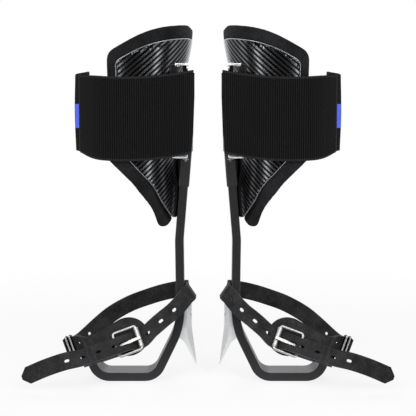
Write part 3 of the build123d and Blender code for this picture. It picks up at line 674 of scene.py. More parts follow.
@dataclass(frozen=True)
class SheetWithPaintedShade(Finish):
    """Stainless sheet painted black over its saddle as shade, left bright and bare at the lugs and ears
    that hold the bars.

    Attributes:
        wing_mm: Half the depth of the saddle that is painted black as shade.
        lug_mm: How far from the middle of the pair the bare lugs reach.
        top_mm: Height over which the lugs are bare.
        ear_mm: Height under which the ears are bare.
        bare_metallic: Metallic level of what is bare.
    """

    wing_mm: float = 29.0
    lug_mm: float = 41.0
    top_mm: float = 405.5
    ear_mm: float = 302.0
    bare_metallic: float = 0.45

    def dress(self, graph: Graph) -> Inputs:
        """Tell the bare lugs and ears from the saddle's painted shade by their place.

        Args:
            graph: The material's node graph.

        Returns:
            What the surface shader's inputs are set to or linked with.
        """
        spot = graph.add("TexCoord", output="Object")
        x, y, z = graph.add("SeparateXYZ", (spot,)).node.outputs
        from_middle = graph.add("Math", (x,), operation="ABSOLUTE")
        lug = graph.add("Math", (from_middle, self.lug_mm * MM), operation="LESS_THAN")
        top = graph.add("Math", (z, self.top_mm * MM), operation="GREATER_THAN")
        ear = graph.add("Math", (z, self.ear_mm * MM), operation="LESS_THAN")
        ends = graph.add("Math", (lug, top), operation="MULTIPLY")
        ends = graph.add("Math", (ends, ear), operation="MAXIMUM")
        depth = graph.add("Math", (y,), operation="ABSOLUTE")
        clear = graph.add("Math", (depth, self.wing_mm * MM), operation="GREATER_THAN")
        bare = graph.add("Math", (ends, clear), operation="MULTIPLY")
        grain = graph.add("TexNoise", {"Vector": spot, "Scale": 1 / (0.8 * MM), "Detail": 3.0})
        spread = 0.08
        rough = (self.roughness - spread, self.roughness + spread)
        # The black base colour away from the lugs and ears is painted shade
        return {"Metallic": graph.add("Math", (bare, self.bare_metallic), operation="MULTIPLY"),
                "Base Color": self.two_tone(graph, bare),
                "Roughness": graph.add("MapRange", (grain, 0.3, 0.7, *rough))}


@dataclass(frozen=True)
class CarbonTwill(Finish):
    """Woven carbon under clear resin: two-over-two twill whose steps make diagonal bands.

    Attributes:
        tow_mm: Width of one tow of fibre.
        half_width: Half the cuff's oval across the leg, in metres.
        half_depth: Half of it front to back.
        axis_offset: Distance of the oval's axis from the middle of the pair, at the ground.
        axis_lean: How much that distance falls for each metre of height.
        softness: How softly one band passes into the next.
    """

    tow_mm: float = 1.75
    half_width: float = 0.076
    half_depth: float = 0.060
    axis_offset: float = 0.13695
    axis_lean: float = -0.08327
    softness: float = 0.35

    def dress(self, graph: Graph) -> Inputs:
        """Wind the weave round the cuff, mirrored from one climber to the other.

        Args:
            graph: The material's node graph.

        Returns:
            What the surface shader's inputs are set to or linked with.
        """
        tow = self.tow_mm * MM
        x, y, z = graph.add("SeparateXYZ", (graph.add("TexCoord", output="Object"),)).node.outputs
        axis = graph.add("Math", (z, self.axis_lean, self.axis_offset), operation="MULTIPLY_ADD")
        from_middle = graph.add("Math", (x,), operation="ABSOLUTE")
        across = graph.add("Math", (axis, from_middle), operation="SUBTRACT")
        across = graph.add("Math", (across, self.half_width), operation="DIVIDE")
        depth = graph.add("Math", (y, self.half_depth), operation="DIVIDE")
        angle = graph.add("Math", (depth, across), operation="ARCTAN2")
        radius = (self.half_width + self.half_depth) / 2
        round_way = graph.add("Math", (angle, radius / tow), operation="MULTIPLY")
        up_way = graph.add("Math", (z, 1 / tow), operation="MULTIPLY")
        # The step from tow to tow is finer than the picture, so the twill line is drawn straight
        tows_per_repeat = 4
        wave = graph.add("Math", (round_way, up_way), operation="SUBTRACT")
        wave = graph.add("Math", (wave, math.tau / tows_per_repeat), operation="MULTIPLY")
        wave = graph.add("Math", (wave,), operation="SINE")
        over = graph.add("MapRange", (wave, -self.softness, self.softness))
        crowns = []
        for way in (round_way, up_way):
            part = graph.add("Math", (way,), operation="FRACT")
            part = graph.add("Math", (part, 0.5), operation="SUBTRACT")
            crowns.append(graph.add("Math", (part, part), operation="MULTIPLY"))
        crown = graph.add("Mix", {0: over, 2: crowns[0], 3: crowns[1]})
        return {"Normal": graph.add("Bump", {"Height": crown, "Distance": 0.12 * MM}, invert=True),
                "Base Color": self.two_tone(graph, over),
                "Anisotropic Rotation": graph.add("Math", (over, 0.25), operation="MULTIPLY"),
                "Anisotropic": 0.7, "Coat Weight": 0.1, "Coat Roughness": 0.25}


@dataclass(frozen=True)
class KnitFoam(Finish):
    """Brushed knit bonded to moulded foam: matt, with a fine nap and a slow mottle.

    Attributes:
        stitch_mm: Width of one knitted loop, drawn coarser than the real 0.4 mm so that it shows.
    """

    stitch_mm: float = 1.8

    def dress(self, graph: Graph) -> Inputs:
        """Draw the nap and the mottle.

        Args:
            graph: The material's node graph.

        Returns:
            What the surface shader's inputs are set to or linked with.
        """
        spot = graph.add("TexCoord", output="Object")
        nap = graph.add("TexNoise", {"Vector": spot, "Scale": 1 / (self.stitch_mm * MM), "Detail": 4.0})
        mottle = graph.add("TexNoise", {"Vector": spot, "Scale": 1 / (30 * MM), "Detail": 2.0})
        share = graph.add("MapRange", (graph.add("Math", (nap, mottle), operation="MULTIPLY"), 0.12, 0.42))
        return {"Base Color": self.two_tone(graph, share),
                "Normal": graph.add("Bump", {"Height": nap, "Distance": 0.25 * MM}),
                "Sheen Weight": 0.04, "Sheen Roughness": 0.6}


@dataclass(frozen=True)
class RibbedElastic(Finish):
    """Knitted elastic: cords of rubber in vertical ribs, crossed by fine yarn.

    Attributes:
        rib_mm: Width of one rib.
        yarn_mm: Spacing of the crossing yarns.
        levels: Shares of the ribs' painted highlight and shade, of the yarn over them and of the fuzz in
            the pattern.
        plain_mm: Length of the plain end that carries the loop tape.
        fade_mm: How far either way of that length the ribs fade in.
        hem_mm: Width of the hem at that end, painted paler as a highlight.
        edge_highlight_colour: Colour of the painted highlight on the hem and the selvedges.
        selvedge_mm: Distances from the band's middle between which the selvedge's painted highlight comes
            in.
    """

    rib_mm: float = 2.7
    yarn_mm: float = 1.1
    levels: Triple = (0.38, 0.15, 0.7)
    plain_mm: float = 26.0
    fade_mm: float = 18.0
    hem_mm: float = 2.2
    edge_highlight_colour: str = "#363638"
    selvedge_mm: Pair = (48.3, 49.3)

    def dress(self, graph: Graph) -> Inputs:
        """Paint shade in the valleys of the ribs and a highlight along their crowns, and cross them with
        yarn.

        Args:
            graph: The material's node graph.

        Returns:
            What the surface shader's inputs are set to or linked with.
        """
        along, up, _ = graph.add("SeparateXYZ", (graph.add("TexCoord", output="UV"),)).node.outputs
        # Rib wave: the lighter crowns and darker valleys are painted highlight and shade
        rib = graph.add("Math", (along, math.tau / self.rib_mm), operation="MULTIPLY")
        rib = graph.add("Math", (rib,), operation="COSINE")
        yarn = graph.add("Math", (up, math.tau / self.yarn_mm), operation="MULTIPLY")
        yarn = graph.add("Math", (yarn,), operation="SINE")
        yarn = graph.add("Math", (rib, yarn), operation="MULTIPLY")
        spot = graph.add("TexCoord", output="Object")
        fuzz = graph.add("TexNoise", {"Vector": spot, "Scale": 1 / (1.2 * MM), "Detail": 3.0})
        share = graph.add("Math", (fuzz, self.levels[2]), operation="MULTIPLY")
        share = graph.add("Math", (yarn, self.levels[1], share), operation="MULTIPLY_ADD")
        share = graph.add("Math", (rib, self.levels[0], share), operation="MULTIPLY_ADD")
        ribbed = graph.add("MapRange", (along, self.plain_mm - self.fade_mm, self.plain_mm + self.fade_mm))
        plain = graph.add("MapRange", (fuzz, 0.3, 0.7, 0.5, 0.95))
        share = graph.add("Mix", {0: ribbed, 2: plain, 3: share})
        # Paler hem and selvedges: painted highlight along the band's end and edges
        from_middle = graph.add("Math", (up,), operation="ABSOLUTE")
        selvedge = graph.add("MapRange", (from_middle, *self.selvedge_mm, 0.0, 0.3))
        hem = graph.add("MapRange", (along, self.hem_mm, self.hem_mm - 1.0, 0.0, 0.8))
        border = graph.add("Math", (selvedge, hem), operation="MAXIMUM")
        tones = {0: border, 6: self.two_tone(graph, share), 7: linear(self.edge_highlight_colour)}
        return {"Base Color": graph.add("Mix", tones, 2, data_type="RGBA"),
                "Normal": graph.add("Bump", {"Height": share, "Distance": 0.15 * MM})}


@dataclass(frozen=True)
class WovenTape(Finish):
    """Plain woven tape: fine square weave.

    Attributes:
        thread_mm: Thread spacing, drawn coarser than the real 0.3 mm so that it shows.
    """

    thread_mm: float = 0.7

    def dress(self, graph: Graph) -> Inputs:
        """Cross two sets of threads.

        Args:
            graph: The material's node graph.

        Returns:
            What the surface shader's inputs are set to or linked with.
        """
        along, up, _ = graph.add("SeparateXYZ", (graph.add("TexCoord", output="UV"),)).node.outputs
        waves = []
        for way in (along, up):
            wave = graph.add("Math", (way, math.tau / (2 * self.thread_mm)), operation="MULTIPLY")
            waves.append(graph.add("Math", (wave,), operation="SINE"))
        weave = graph.add("Math", tuple(waves), operation="MULTIPLY")
        return {"Base Color": self.two_tone(graph, graph.add("MapRange", (weave, -1.0, 1.0))),
                "Normal": graph.add("Bump", {"Height": weave, "Distance": 0.1 * MM})}


@dataclass(frozen=True)
class GroovedPlate(Finish):
    """Plated strip whose grooves beside its bright ribs are painted dark as shade."""

    def dress(self, graph: Graph) -> Inputs:
        """Paint shade in the grooves, told from the ribs by their own mark."""
        groove = graph.add("Attribute", output="Fac", attribute_name="groove")
        # The grooves' near-black colour is painted shade
        return {"Base Color": self.two_tone(graph, groove)}


@dataclass(frozen=True)
class GrainLeather(Finish):
    """Dyed strap leather: fine pebbled grain, paler where it is cut.

    Attributes:
        pebble_mm: Size of one pebble of the grain, drawn coarser than the real 1 mm so that it shows.
        cut_colour: Colour of the cut edges.
    """

    pebble_mm: float = 2.4
    cut_colour: str = "#6a6a6c"

    def dress(self, graph: Graph) -> Inputs:
        """Draw the grain, slow colour variation and the cut edges.

        Args:
            graph: The material's node graph.

        Returns:
            What the surface shader's inputs are set to or linked with.
        """
        spot = graph.add("TexCoord", output="Object")
        pebble = graph.add("TexVoronoi", {"Vector": spot, "Scale": 1 / (self.pebble_mm * MM)})
        fine = graph.add("TexNoise", {"Vector": spot, "Scale": 1 / (1.6 * MM), "Detail": 3.0})
        grain = graph.add("Math", (pebble, 0.7, fine), operation="MULTIPLY_ADD")
        mottle = graph.add("TexNoise", {"Vector": spot, "Scale": 1 / (14 * MM), "Detail": 3.0})
        share = graph.add("Math", (mottle, grain), operation="MULTIPLY")
        skin = self.two_tone(graph, graph.add("MapRange", (share, 0.2, 0.7)))
        cut = graph.add("Attribute", output="Fac", attribute_name="cut_edge")
        cut = graph.add("Math", (cut, fine), operation="MULTIPLY")
        tones = {0: cut, 6: skin, 7: linear(self.cut_colour)}
        spread = 0.1
        rough = (self.roughness - spread, self.roughness + spread)
        return {"Base Color": graph.add("Mix", tones, 2, data_type="RGBA"),
                "Roughness": graph.add("MapRange", (grain, 0.3, 1.0, *rough)),
                "Normal": graph.add("Bump", {"Height": grain, "Distance": 0.12 * MM})}


FINISHES: dict[Slot, Finish] = {
    # Black dye in a matt etched oxide skin: dark, satin, brighter only at a grazing view
    Slot.ANODISED: SatinMetal("anodised_aluminium_etched", "#3f3f41", "#7c7c7e", 0.42, 0.85, grit_mm=0.4,
                              relief_mm=0.01, wear_mm=0.9),
    # Forged and then belt ground: white metal with fine marks across the spike
    Slot.GAFF: SatinMetal("alloy_steel_belt_ground", "#f2f3f4", "#b9babc", 0.42, 0.75, grit_mm=0.5,
                          stretch=(6.0, 6.0, 0.6), relief_mm=0.01, spread=0.1),
    # Hot black oxide: near black with an oily low gloss
    Slot.FASTENER: SatinMetal("alloy_steel_black_oxide", "#2c2c2e", "#6a6a6c", 0.42, 1.0, wear_mm=0.4),
    # Baked powder coat: black with a faint orange peel
    Slot.SLEEVE: SatinMetal("sheet_steel_powder_coated", "#1d1d1f", "#4b4b4d", 0.48, 0.0, grit_mm=1.2,
                            relief_mm=0.03, wear_mm=0.6),
    # Tows that run two ways turn the light two ways under one thin coat
    Slot.CARBON: CarbonTwill("carbon_twill_clear_coated", "#0b0b0c", "#66676a", 0.25, 1.0),
    # Fabric face pressed on foam: dull and even, with a slight nap
    Slot.FOAM: KnitFoam("polyester_knit_on_foam", "#0b0b0c", "#232325", 0.95, specular=0.08),
    # Drawn rod and ring, brushed along the length: grey, with soft streaked reflections
    Slot.STAINLESS: SatinMetal("stainless_sheet_brushed", "#85868a", "#9b9c9f", 0.36, 1.0, grit_mm=0.4,
                               stretch=(1.0, 1.0, 12.0), relief_mm=0.006, wear_mm=0.5),
    # Headed and barrelled: bright and nearly smooth
    Slot.RIVET: SatinMetal("steel_rivet_zinc_plated", "#d6d7d9", "#efeff0", 0.25, 1.0, relief_mm=0.006),
    # Painted highlight along the ribs' crowns and painted shade in the valleys between them
    Slot.ELASTIC: RibbedElastic("polyester_elastic_knitted", "#030303", "#202021", 0.9, specular=0.06),
    # Stiff nylon hooks: black with a faint plastic glint
    Slot.HOOK: KnitFoam("nylon_hook_tape_woven", "#0e0e0f", "#1c1c1d", 0.6, specular=0.3, stitch_mm=1.2),
    # Bright dyed polyester thread
    Slot.LABEL: WovenTape("polyester_tape_woven", "#4055e8", "#6a80ff", 0.7, specular=0.2),
    # Drum dyed and tumbled: charcoal with a dull pebbled skin
    Slot.LEATHER: GrainLeather("leather_drum_dyed", "#0d0d0e", "#2f2f31", 0.62, specular=0.2),
    # Plated wire, dulled in use: bright and soft, with a warm cast
    Slot.NICKEL: SatinMetal("steel_wire_nickel_plated", "#c4c4c2", "#f4f2ee", 0.5, 1.0, grit_mm=3.0,
                            relief_mm=0.002, spread=0.05),
}

# Painted shade: black over the saddle where it lies in shadow, and bright bare steel at its ends
BRACKET = SheetWithPaintedShade("stainless_sheet_painted_shade", "#0c0c0d", "#f4f5f6", 0.4)
# Cut and polished edge of the laminate: a thin grey line of resin
EDGE_RESIN = SatinMetal("laminate_edge_polished", "#9c9d9f", "#b4b5b7", 0.35, 1.0, relief_mm=0.002)
# Plated strip bent round the strap ends: two bright ribs, with painted shade in the grooves beside them
CLASP = GroovedPlate("steel_strip_nickel_plated", "#e2e2e0", "#0c0c0c", 0.45, 1.0)
# Bonded thread: a little glossier than the yarn round it
THREAD = WovenTape("polyester_thread_bonded", "#0e0e0f", "#1e1e20", 0.7, specular=0.2)


# Pieces

class Outfit:
    """Finishes by slot, and what every new piece has to be told about the frame."""

    def __init__(self) -> None:
        """Build every material once."""
        self.materials = {slot: finish.material() for slot, finish in FINISHES.items()}
        self.bracket = BRACKET.material()
        self.clasp = CLASP.material()
        self.edge = EDGE_RESIN.material()
        self.thread = THREAD.material()

    def add_pair(self, piece: Piece, body: str, slot: Slot, node: str | None = None,
                 material: bpy.types.Material | None = None) -> dict[Side, Piece]:
        """Dress a finished left piece, mirror it for the right climber and tie both to the frame.

        Args:
            piece: A finished piece of the left climber.
            body: The body it rides on, without its side; the frames are one body.
            slot: Material slot of its finish.
            node: The node that it stands for, without its side.
            material: Its finish, where it isn't the slot's own.

        Returns:
            The two pieces by side.
        """
        stem = f"{node}_dressed" if node else piece.name
        piece.data.materials.clear()
        piece.data.materials.append(material or self.materials[slot])
        pair = {Side.RIGHT: mirrored(piece, Side.RIGHT.name_of(stem)), Side.LEFT: piece}
        piece.name = Side.LEFT.name_of(stem)
        piece.data.name = piece.name
        for side, one in pair.items():
            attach(one, body if body == "frames" else side.name_of(body))
            if node:
                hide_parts(side.name_of(node))
            LOG.info("%s: %d faces", one.name, len(one.data.polygons))
        return pair


@dataclass
class Buckle:
    """Frame of the ankle buckle: u along the strap from the heel bar, v across it, w outwards.

    Attributes:
        heel: Middle of the heel bar.
        rise: How far the strap climbs towards the shank, in degrees.
        yaw: How far it turns back.
        roll: How far its face tips up.
    """

    heel: Triple = (-14.4, -45.8, 51.4)
    rise: float = 16.5
    yaw: float = 11.5
    roll: float = 36.0

    def __post_init__(self) -> None:
        """Work out the three directions."""
        turn = Matrix.Rotation(math.radians(self.yaw), 3, "Z")
        turn = turn @ Matrix.Rotation(math.radians(-self.rise), 3, "Y")
        tip = math.radians(self.roll)
        self.along = turn @ Vector((1, 0, 0))
        self.out = turn @ Vector((0, -math.cos(tip), math.sin(tip)))
        self.across = self.out.cross(self.along)

    def at(self, u: float, v: float, w: float) -> Vector:
        """Place in the climber's millimetres for one in the buckle's."""
        return Vector(self.heel) + self.along * u + self.across * v + self.out * w

    def stations(self, spots: list[Pair]) -> list[Station]:
        """Stations on the buckle's middle line, from places along it and out of it."""
        return [(self.at(u, 0, w), self.across) for u, w in spots]

    def lay(self, piece: Piece) -> None:
        """Set a piece that was modelled in the buckle's millimetres in its place, in metres."""
        for vertex in piece.data.vertices:
            vertex.co = place(*self.at(*vertex.co))


@dataclass
class AnkleStrap:
    """Leather ankle strap, its backing pad, the folded chape and the keeper.

    Attributes:
        outfit: The finishes.
        width: Width of the straps.
        thickness: Thickness of the main strap and the pad.
        chape_thickness: Thickness of the chape.
        edge: Rounding of the cut edges.
        billet: How far out the main strap lies over the buckle's heel bar.
        dip: How far out it lies under the roller.
        pad_level: How far out the pad lies, behind the heel bar.
        pad_radius: Radius of its round end.
        pad_centre: Middle of that end, along and across the buckle.
        pad_neck: Where it has come down to the strap's width.
        first: How far the first hole on either side lies from the tongue's end.
        pitch: Spacing of the holes on the shank side.
        tail_pitch: Their spacing on the tail.
        hole: Length and width of a hole.
        end_holes: How far the holes at the outer end lie from the strap's end.
        slot: Where along the buckle the tongue's slot starts and ends.
        slot_width: Width of that slot.
        rib: Height of the clasp's ribs over its grooves.
        buckle: The buckle's frame.
    """

    outfit: Outfit
    width: float = 22.0
    thickness: float = 2.5
    chape_thickness: float = 2.2
    edge: float = 0.45
    billet: float = 5.5
    dip: float = -1.99
    pad_level: float = -5.5
    pad_radius: float = 26.0
    pad_centre: Vector = field(default_factory=lambda: Vector((18.5, 11.5)))
    pad_neck: Vector = field(default_factory=lambda: Vector((-29.0, 16.0)))
    first: float = 25.0
    pitch: float = 22.5
    tail_pitch: float = 20.5
    hole: Pair = (6.5, 3.6)
    end_holes: Pair = (21.5, 41.0)
    slot: Pair = (4.4, 21.0)
    slot_width: float = 4.6
    rib: float = 0.5
    buckle: Buckle = field(default_factory=Buckle)

    def build(self) -> None:
        """Make the four leather pieces, and the clasp on their ends."""
        self.main_strap()
        self.backing()
        self.chape()
        self.keeper()
        self.clasp()

    @staticmethod
    def lateral_end(side: int) -> list[Station]:
        """Stations where the straps close on each other at the outer end of the loop.

        Args:
            side: One for the strap from the back, minus one for the pad's strap.

        Returns:
            Places and width directions up to the end.
        """
        bend = [(-48.0, 34.0, 61.5), (-58.5, 17.5, 53.4), (-64.0, 8.5, 49.4), (-68.0, 3.6, 47.0)]
        lean = Vector((-0.62, 0.0, 0.78))
        stations = [(Vector((x, side * y, z)), lean) for x, y, z in bend[1 - side:]]
        pinch = [(-72.0, 45.2), (-79.0, 42.8), (-86.5, 40.2)]
        return stations + [(Vector((x, side * 1.45, z)), Vector((-0.33, 0, 0.945))) for x, z in pinch]

    def route(self) -> tuple[Path, float]:
        """Line of the main strap from its tail round the shank to the outer end of the loop.

        Returns:
            The line, and the distance along it where the buckle's heel bar is.
        """
        tilt = Vector((-0.37, 0.30, 0.88))
        tail = [(Vector(spot), tilt) for spot in
                ((-132.5, -58.0, 15.5), (-98.0, -61.2, 31.0), (-76.0, -61.7, 38.3))]
        level = [(u, self.billet) for u in (-44.0, -22.0, 0.0, 8.0, 13.75)]
        buckle = self.buckle.stations(level + [(26.0, self.dip), (33.0, self.dip)])
        front = [(Vector((28.0, -36.0, 71.5)), Vector((-0.48, 0.42, 0.77))),
                 (Vector((42.5, -32.5, 84.0)), Vector((-0.55, 0.25, 0.79))),
                 (Vector((57.0, -26.5, 95.0)), Vector((-0.58, 0.15, 0.80))),
                 (Vector((66.5, -20.5, 104.0)), Vector((-0.56, 0.05, 0.83)))]
        turn = [(73.5, -16.5, 112.0), (77.3, -15.3, 115.4), (78.5, -12.0, 116.3), (78.9, 0.0, 116.6),
                (78.5, 12.0, 116.8), (77.3, 15.3, 116.9), (73.5, 16.5, 116.7)]
        wrap = [(Vector(spot), Vector((-0.551, 0.0, 0.834))) for spot in turn]
        back = [((61.0, 17.5, 114.8), 0.13), ((42.8, 28.0, 109.2), 0.2), ((20.6, 41.0, 100.2), 0.32),
                ((-4.7, 49.5, 89.2), 0.46), ((-30.0, 48.0, 75.0), 0.58)]
        behind = [(Vector(spot), Vector((-lean, 0, math.sqrt(1 - lean ** 2)))) for spot, lean in back]
        start = smooth_path(tail + buckle[:3])
        path = smooth_path(tail + buckle + front + wrap + behind + self.lateral_end(1))
        return path, start.length

    def cut_and_lay(self, strip: Piece, thickness: float, holes: list[Triple], path: Path) -> None:
        """Make a flat piece of leather and lay it along its line.

        Args:
            strip: A flat strip with its outline.
            thickness: Its thickness.
            holes: Length, width and place along the strip of each hole.
            path: The line it lies along.
        """
        thicken(strip, thickness, self.edge)
        punch_out(strip, thickness, holes)
        map_flat(strip, thickness)
        path.lay(strip)

    def main_strap(self) -> None:
        """Strap with a pointed tail, its row of holes and the slot for the tongue."""
        path, heel = self.route()
        strap = flat_strip("ankle_strap", path.length, self.width, step=2.2, rows=10)
        point, blunt = 11.0, 5.0
        for side in (-1, 1):
            along = Vector((point, side * (self.width - blunt) / 2, 0))
            with editing(strap):
                bpy.ops.mesh.bisect(plane_co=(0, side * blunt / 2, 0), plane_no=(-along.y, along.x, 0),
                                    clear_outer=side > 0, clear_inner=side < 0)
        (slot_start, slot_end), slack = self.slot, 2.0
        tongue_end = heel + slot_end + 1.2
        places = [tongue_end - self.first - step * self.tail_pitch for step in range(4)]
        places += [tongue_end + self.first + step * self.pitch for step in range(4)]
        places += [path.length - spot for spot in self.end_holes]
        holes = [(*self.hole, spot) for spot in places]
        holes.append((slot_end - slot_start + slack, self.slot_width, heel + (slot_start + slot_end) / 2))
        self.cut_and_lay(strap, self.thickness, holes, path)
        smooth_faces(strap)
        for side, one in self.outfit.add_pair(strap, "frames", Slot.LEATHER, "ankle_strap").items():
            side.name_of("stirrup_frame")

    def pad_half(self, along: float) -> float:
        """Half the width of the backing strap, from the round tip of its pad.

        Args:
            along: Distance from that tip.

        Returns:
            Half the width there: a circle, then tangents that run in to the strap.
        """
        radius, past = self.pad_radius, along - self.pad_radius
        lean = math.asin((radius - self.width / 2) / (self.pad_centre - self.pad_neck).length)
        if past < radius * math.sin(lean):
            return math.sqrt(max(radius ** 2 - past ** 2, 0))
        taper = radius * math.cos(lean) - (past - radius * math.sin(lean)) * math.tan(lean)
        return max(taper, self.width / 2)

    def backing(self) -> None:
        """Rounded pad behind the buckle that runs back as a strap to the end of the loop."""
        radius, way = self.pad_radius, (self.pad_neck - self.pad_centre).normalized()
        bend = 12.0
        spots = [self.pad_centre - way * radius, self.pad_centre,
                 self.pad_neck - way * bend, self.pad_neck + way]
        flat = [(self.buckle.at(*spot, self.pad_level), self.buckle.across) for spot in spots]
        path = smooth_path(flat + self.lateral_end(-1))
        pad = flat_strip("backing_strap", path.length, 2 * radius, step=1.6, rows=16)
        for vertex in pad.data.vertices:
            if vertex.co.x < radius:
                vertex.co.x = radius * (1 - math.cos(vertex.co.x / radius * math.pi / 2))
            vertex.co.y *= self.pad_half(vertex.co.x) / radius
        weld(pad, gap=0.05)
        self.cut_and_lay(pad, self.thickness, [(*self.hole, path.length - self.end_holes[0])], path)
        smooth_faces(pad)
        for side, one in self.outfit.add_pair(pad, "frames", Slot.LEATHER, "backing_strap").items():
            side.name_of("ankle_strap")

    def chape(self) -> None:
        """Leather folded round the heel bar, slit for the tongue, with a tail under the keeper."""
        fold, slit_length, slit_width = 3.0, 22.0, 6.2
        route = [(-24.5, -3.0), (-14.0, -3.0), (-5.0, -3.0)]
        route += [(fold * math.sin(angle), -fold * math.cos(angle))
                  for angle in (math.pi * step / 8 for step in range(9))]
        route += [(-5.0, 2.6), (-14.0, 1.3), (-24.5, -0.3), (-35.0, -0.3), (-46.0, -0.3)]
        stations = self.buckle.stations(route)
        path = smooth_path(stations, step=0.5)
        front = smooth_path(stations[:8], step=0.5).length
        strip = flat_strip("buckle_chape", path.length, self.width, step=1.2, rows=10)
        self.cut_and_lay(strip, self.chape_thickness, [(slit_length, slit_width, front)], path)
        face_out(strip)
        smooth_faces(strip)
        for side, one in self.outfit.add_pair(strip, "frames", Slot.LEATHER, "buckle_chape").items():
            side.name_of("buckle_frame")

    def keeper(self) -> None:
        """Leather loop round the chape's tail and the strap."""
        length, middle, wall, gap, corner = 9.0, -33.0, 1.8, 0.3, 1.4
        chape_top, rim = 0.8, self.edge * 0.5
        low = chape_top - self.chape_thickness - gap
        high = self.billet + self.thickness / 2 + gap
        loop = primitive("strap_keeper", bpy.ops.mesh.primitive_plane_add, size=1, location=(0, 0, 0))
        with editing(loop):
            bpy.ops.transform.resize(value=(self.width + 2 * gap, high - low, 1))
            bpy.ops.mesh.bevel(offset=corner, segments=4, affect="VERTICES")
            bpy.ops.mesh.delete(type="ONLY_FACE")
        with editing(loop, "EDGE"):
            for _ in range(4):
                bpy.ops.mesh.extrude_edges_move(TRANSFORM_OT_translate={"value": (0, 0, length / 4)})
        finish_with(loop, "SOLIDIFY", thickness=wall, offset=1)
        face_out(loop)
        round_edges(loop, self.edge)
        chart(loop, lambda spot: (spot.x + spot.y, spot.z))
        mark(loop, "cut_edge", lambda spot: 0.25 * (spot.z < rim or spot.z > length - rim))
        for vertex in loop.data.vertices:
            across, rise, along = vertex.co
            vertex.co = (middle - length / 2 + along, across, (low + high) / 2 + rise)
        self.buckle.lay(loop)
        face_out(loop)
        smooth_faces(loop)
        self.outfit.add_pair(loop, "keeper", Slot.LEATHER, "strap_keeper")

    def clasp(self) -> None:
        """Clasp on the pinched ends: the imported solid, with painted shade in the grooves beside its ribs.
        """
        clasp = copied("end_clasp")
        reach = max(abs(vertex.co.y) for vertex in clasp.data.vertices)
        mark(clasp, "groove", lambda spot: float(abs(spot.y) < reach - self.rib * MM))
        smooth_faces(clasp, degrees=30)
        self.outfit.add_pair(clasp, "frames", Slot.NICKEL, "end_clasp", self.outfit.clasp)


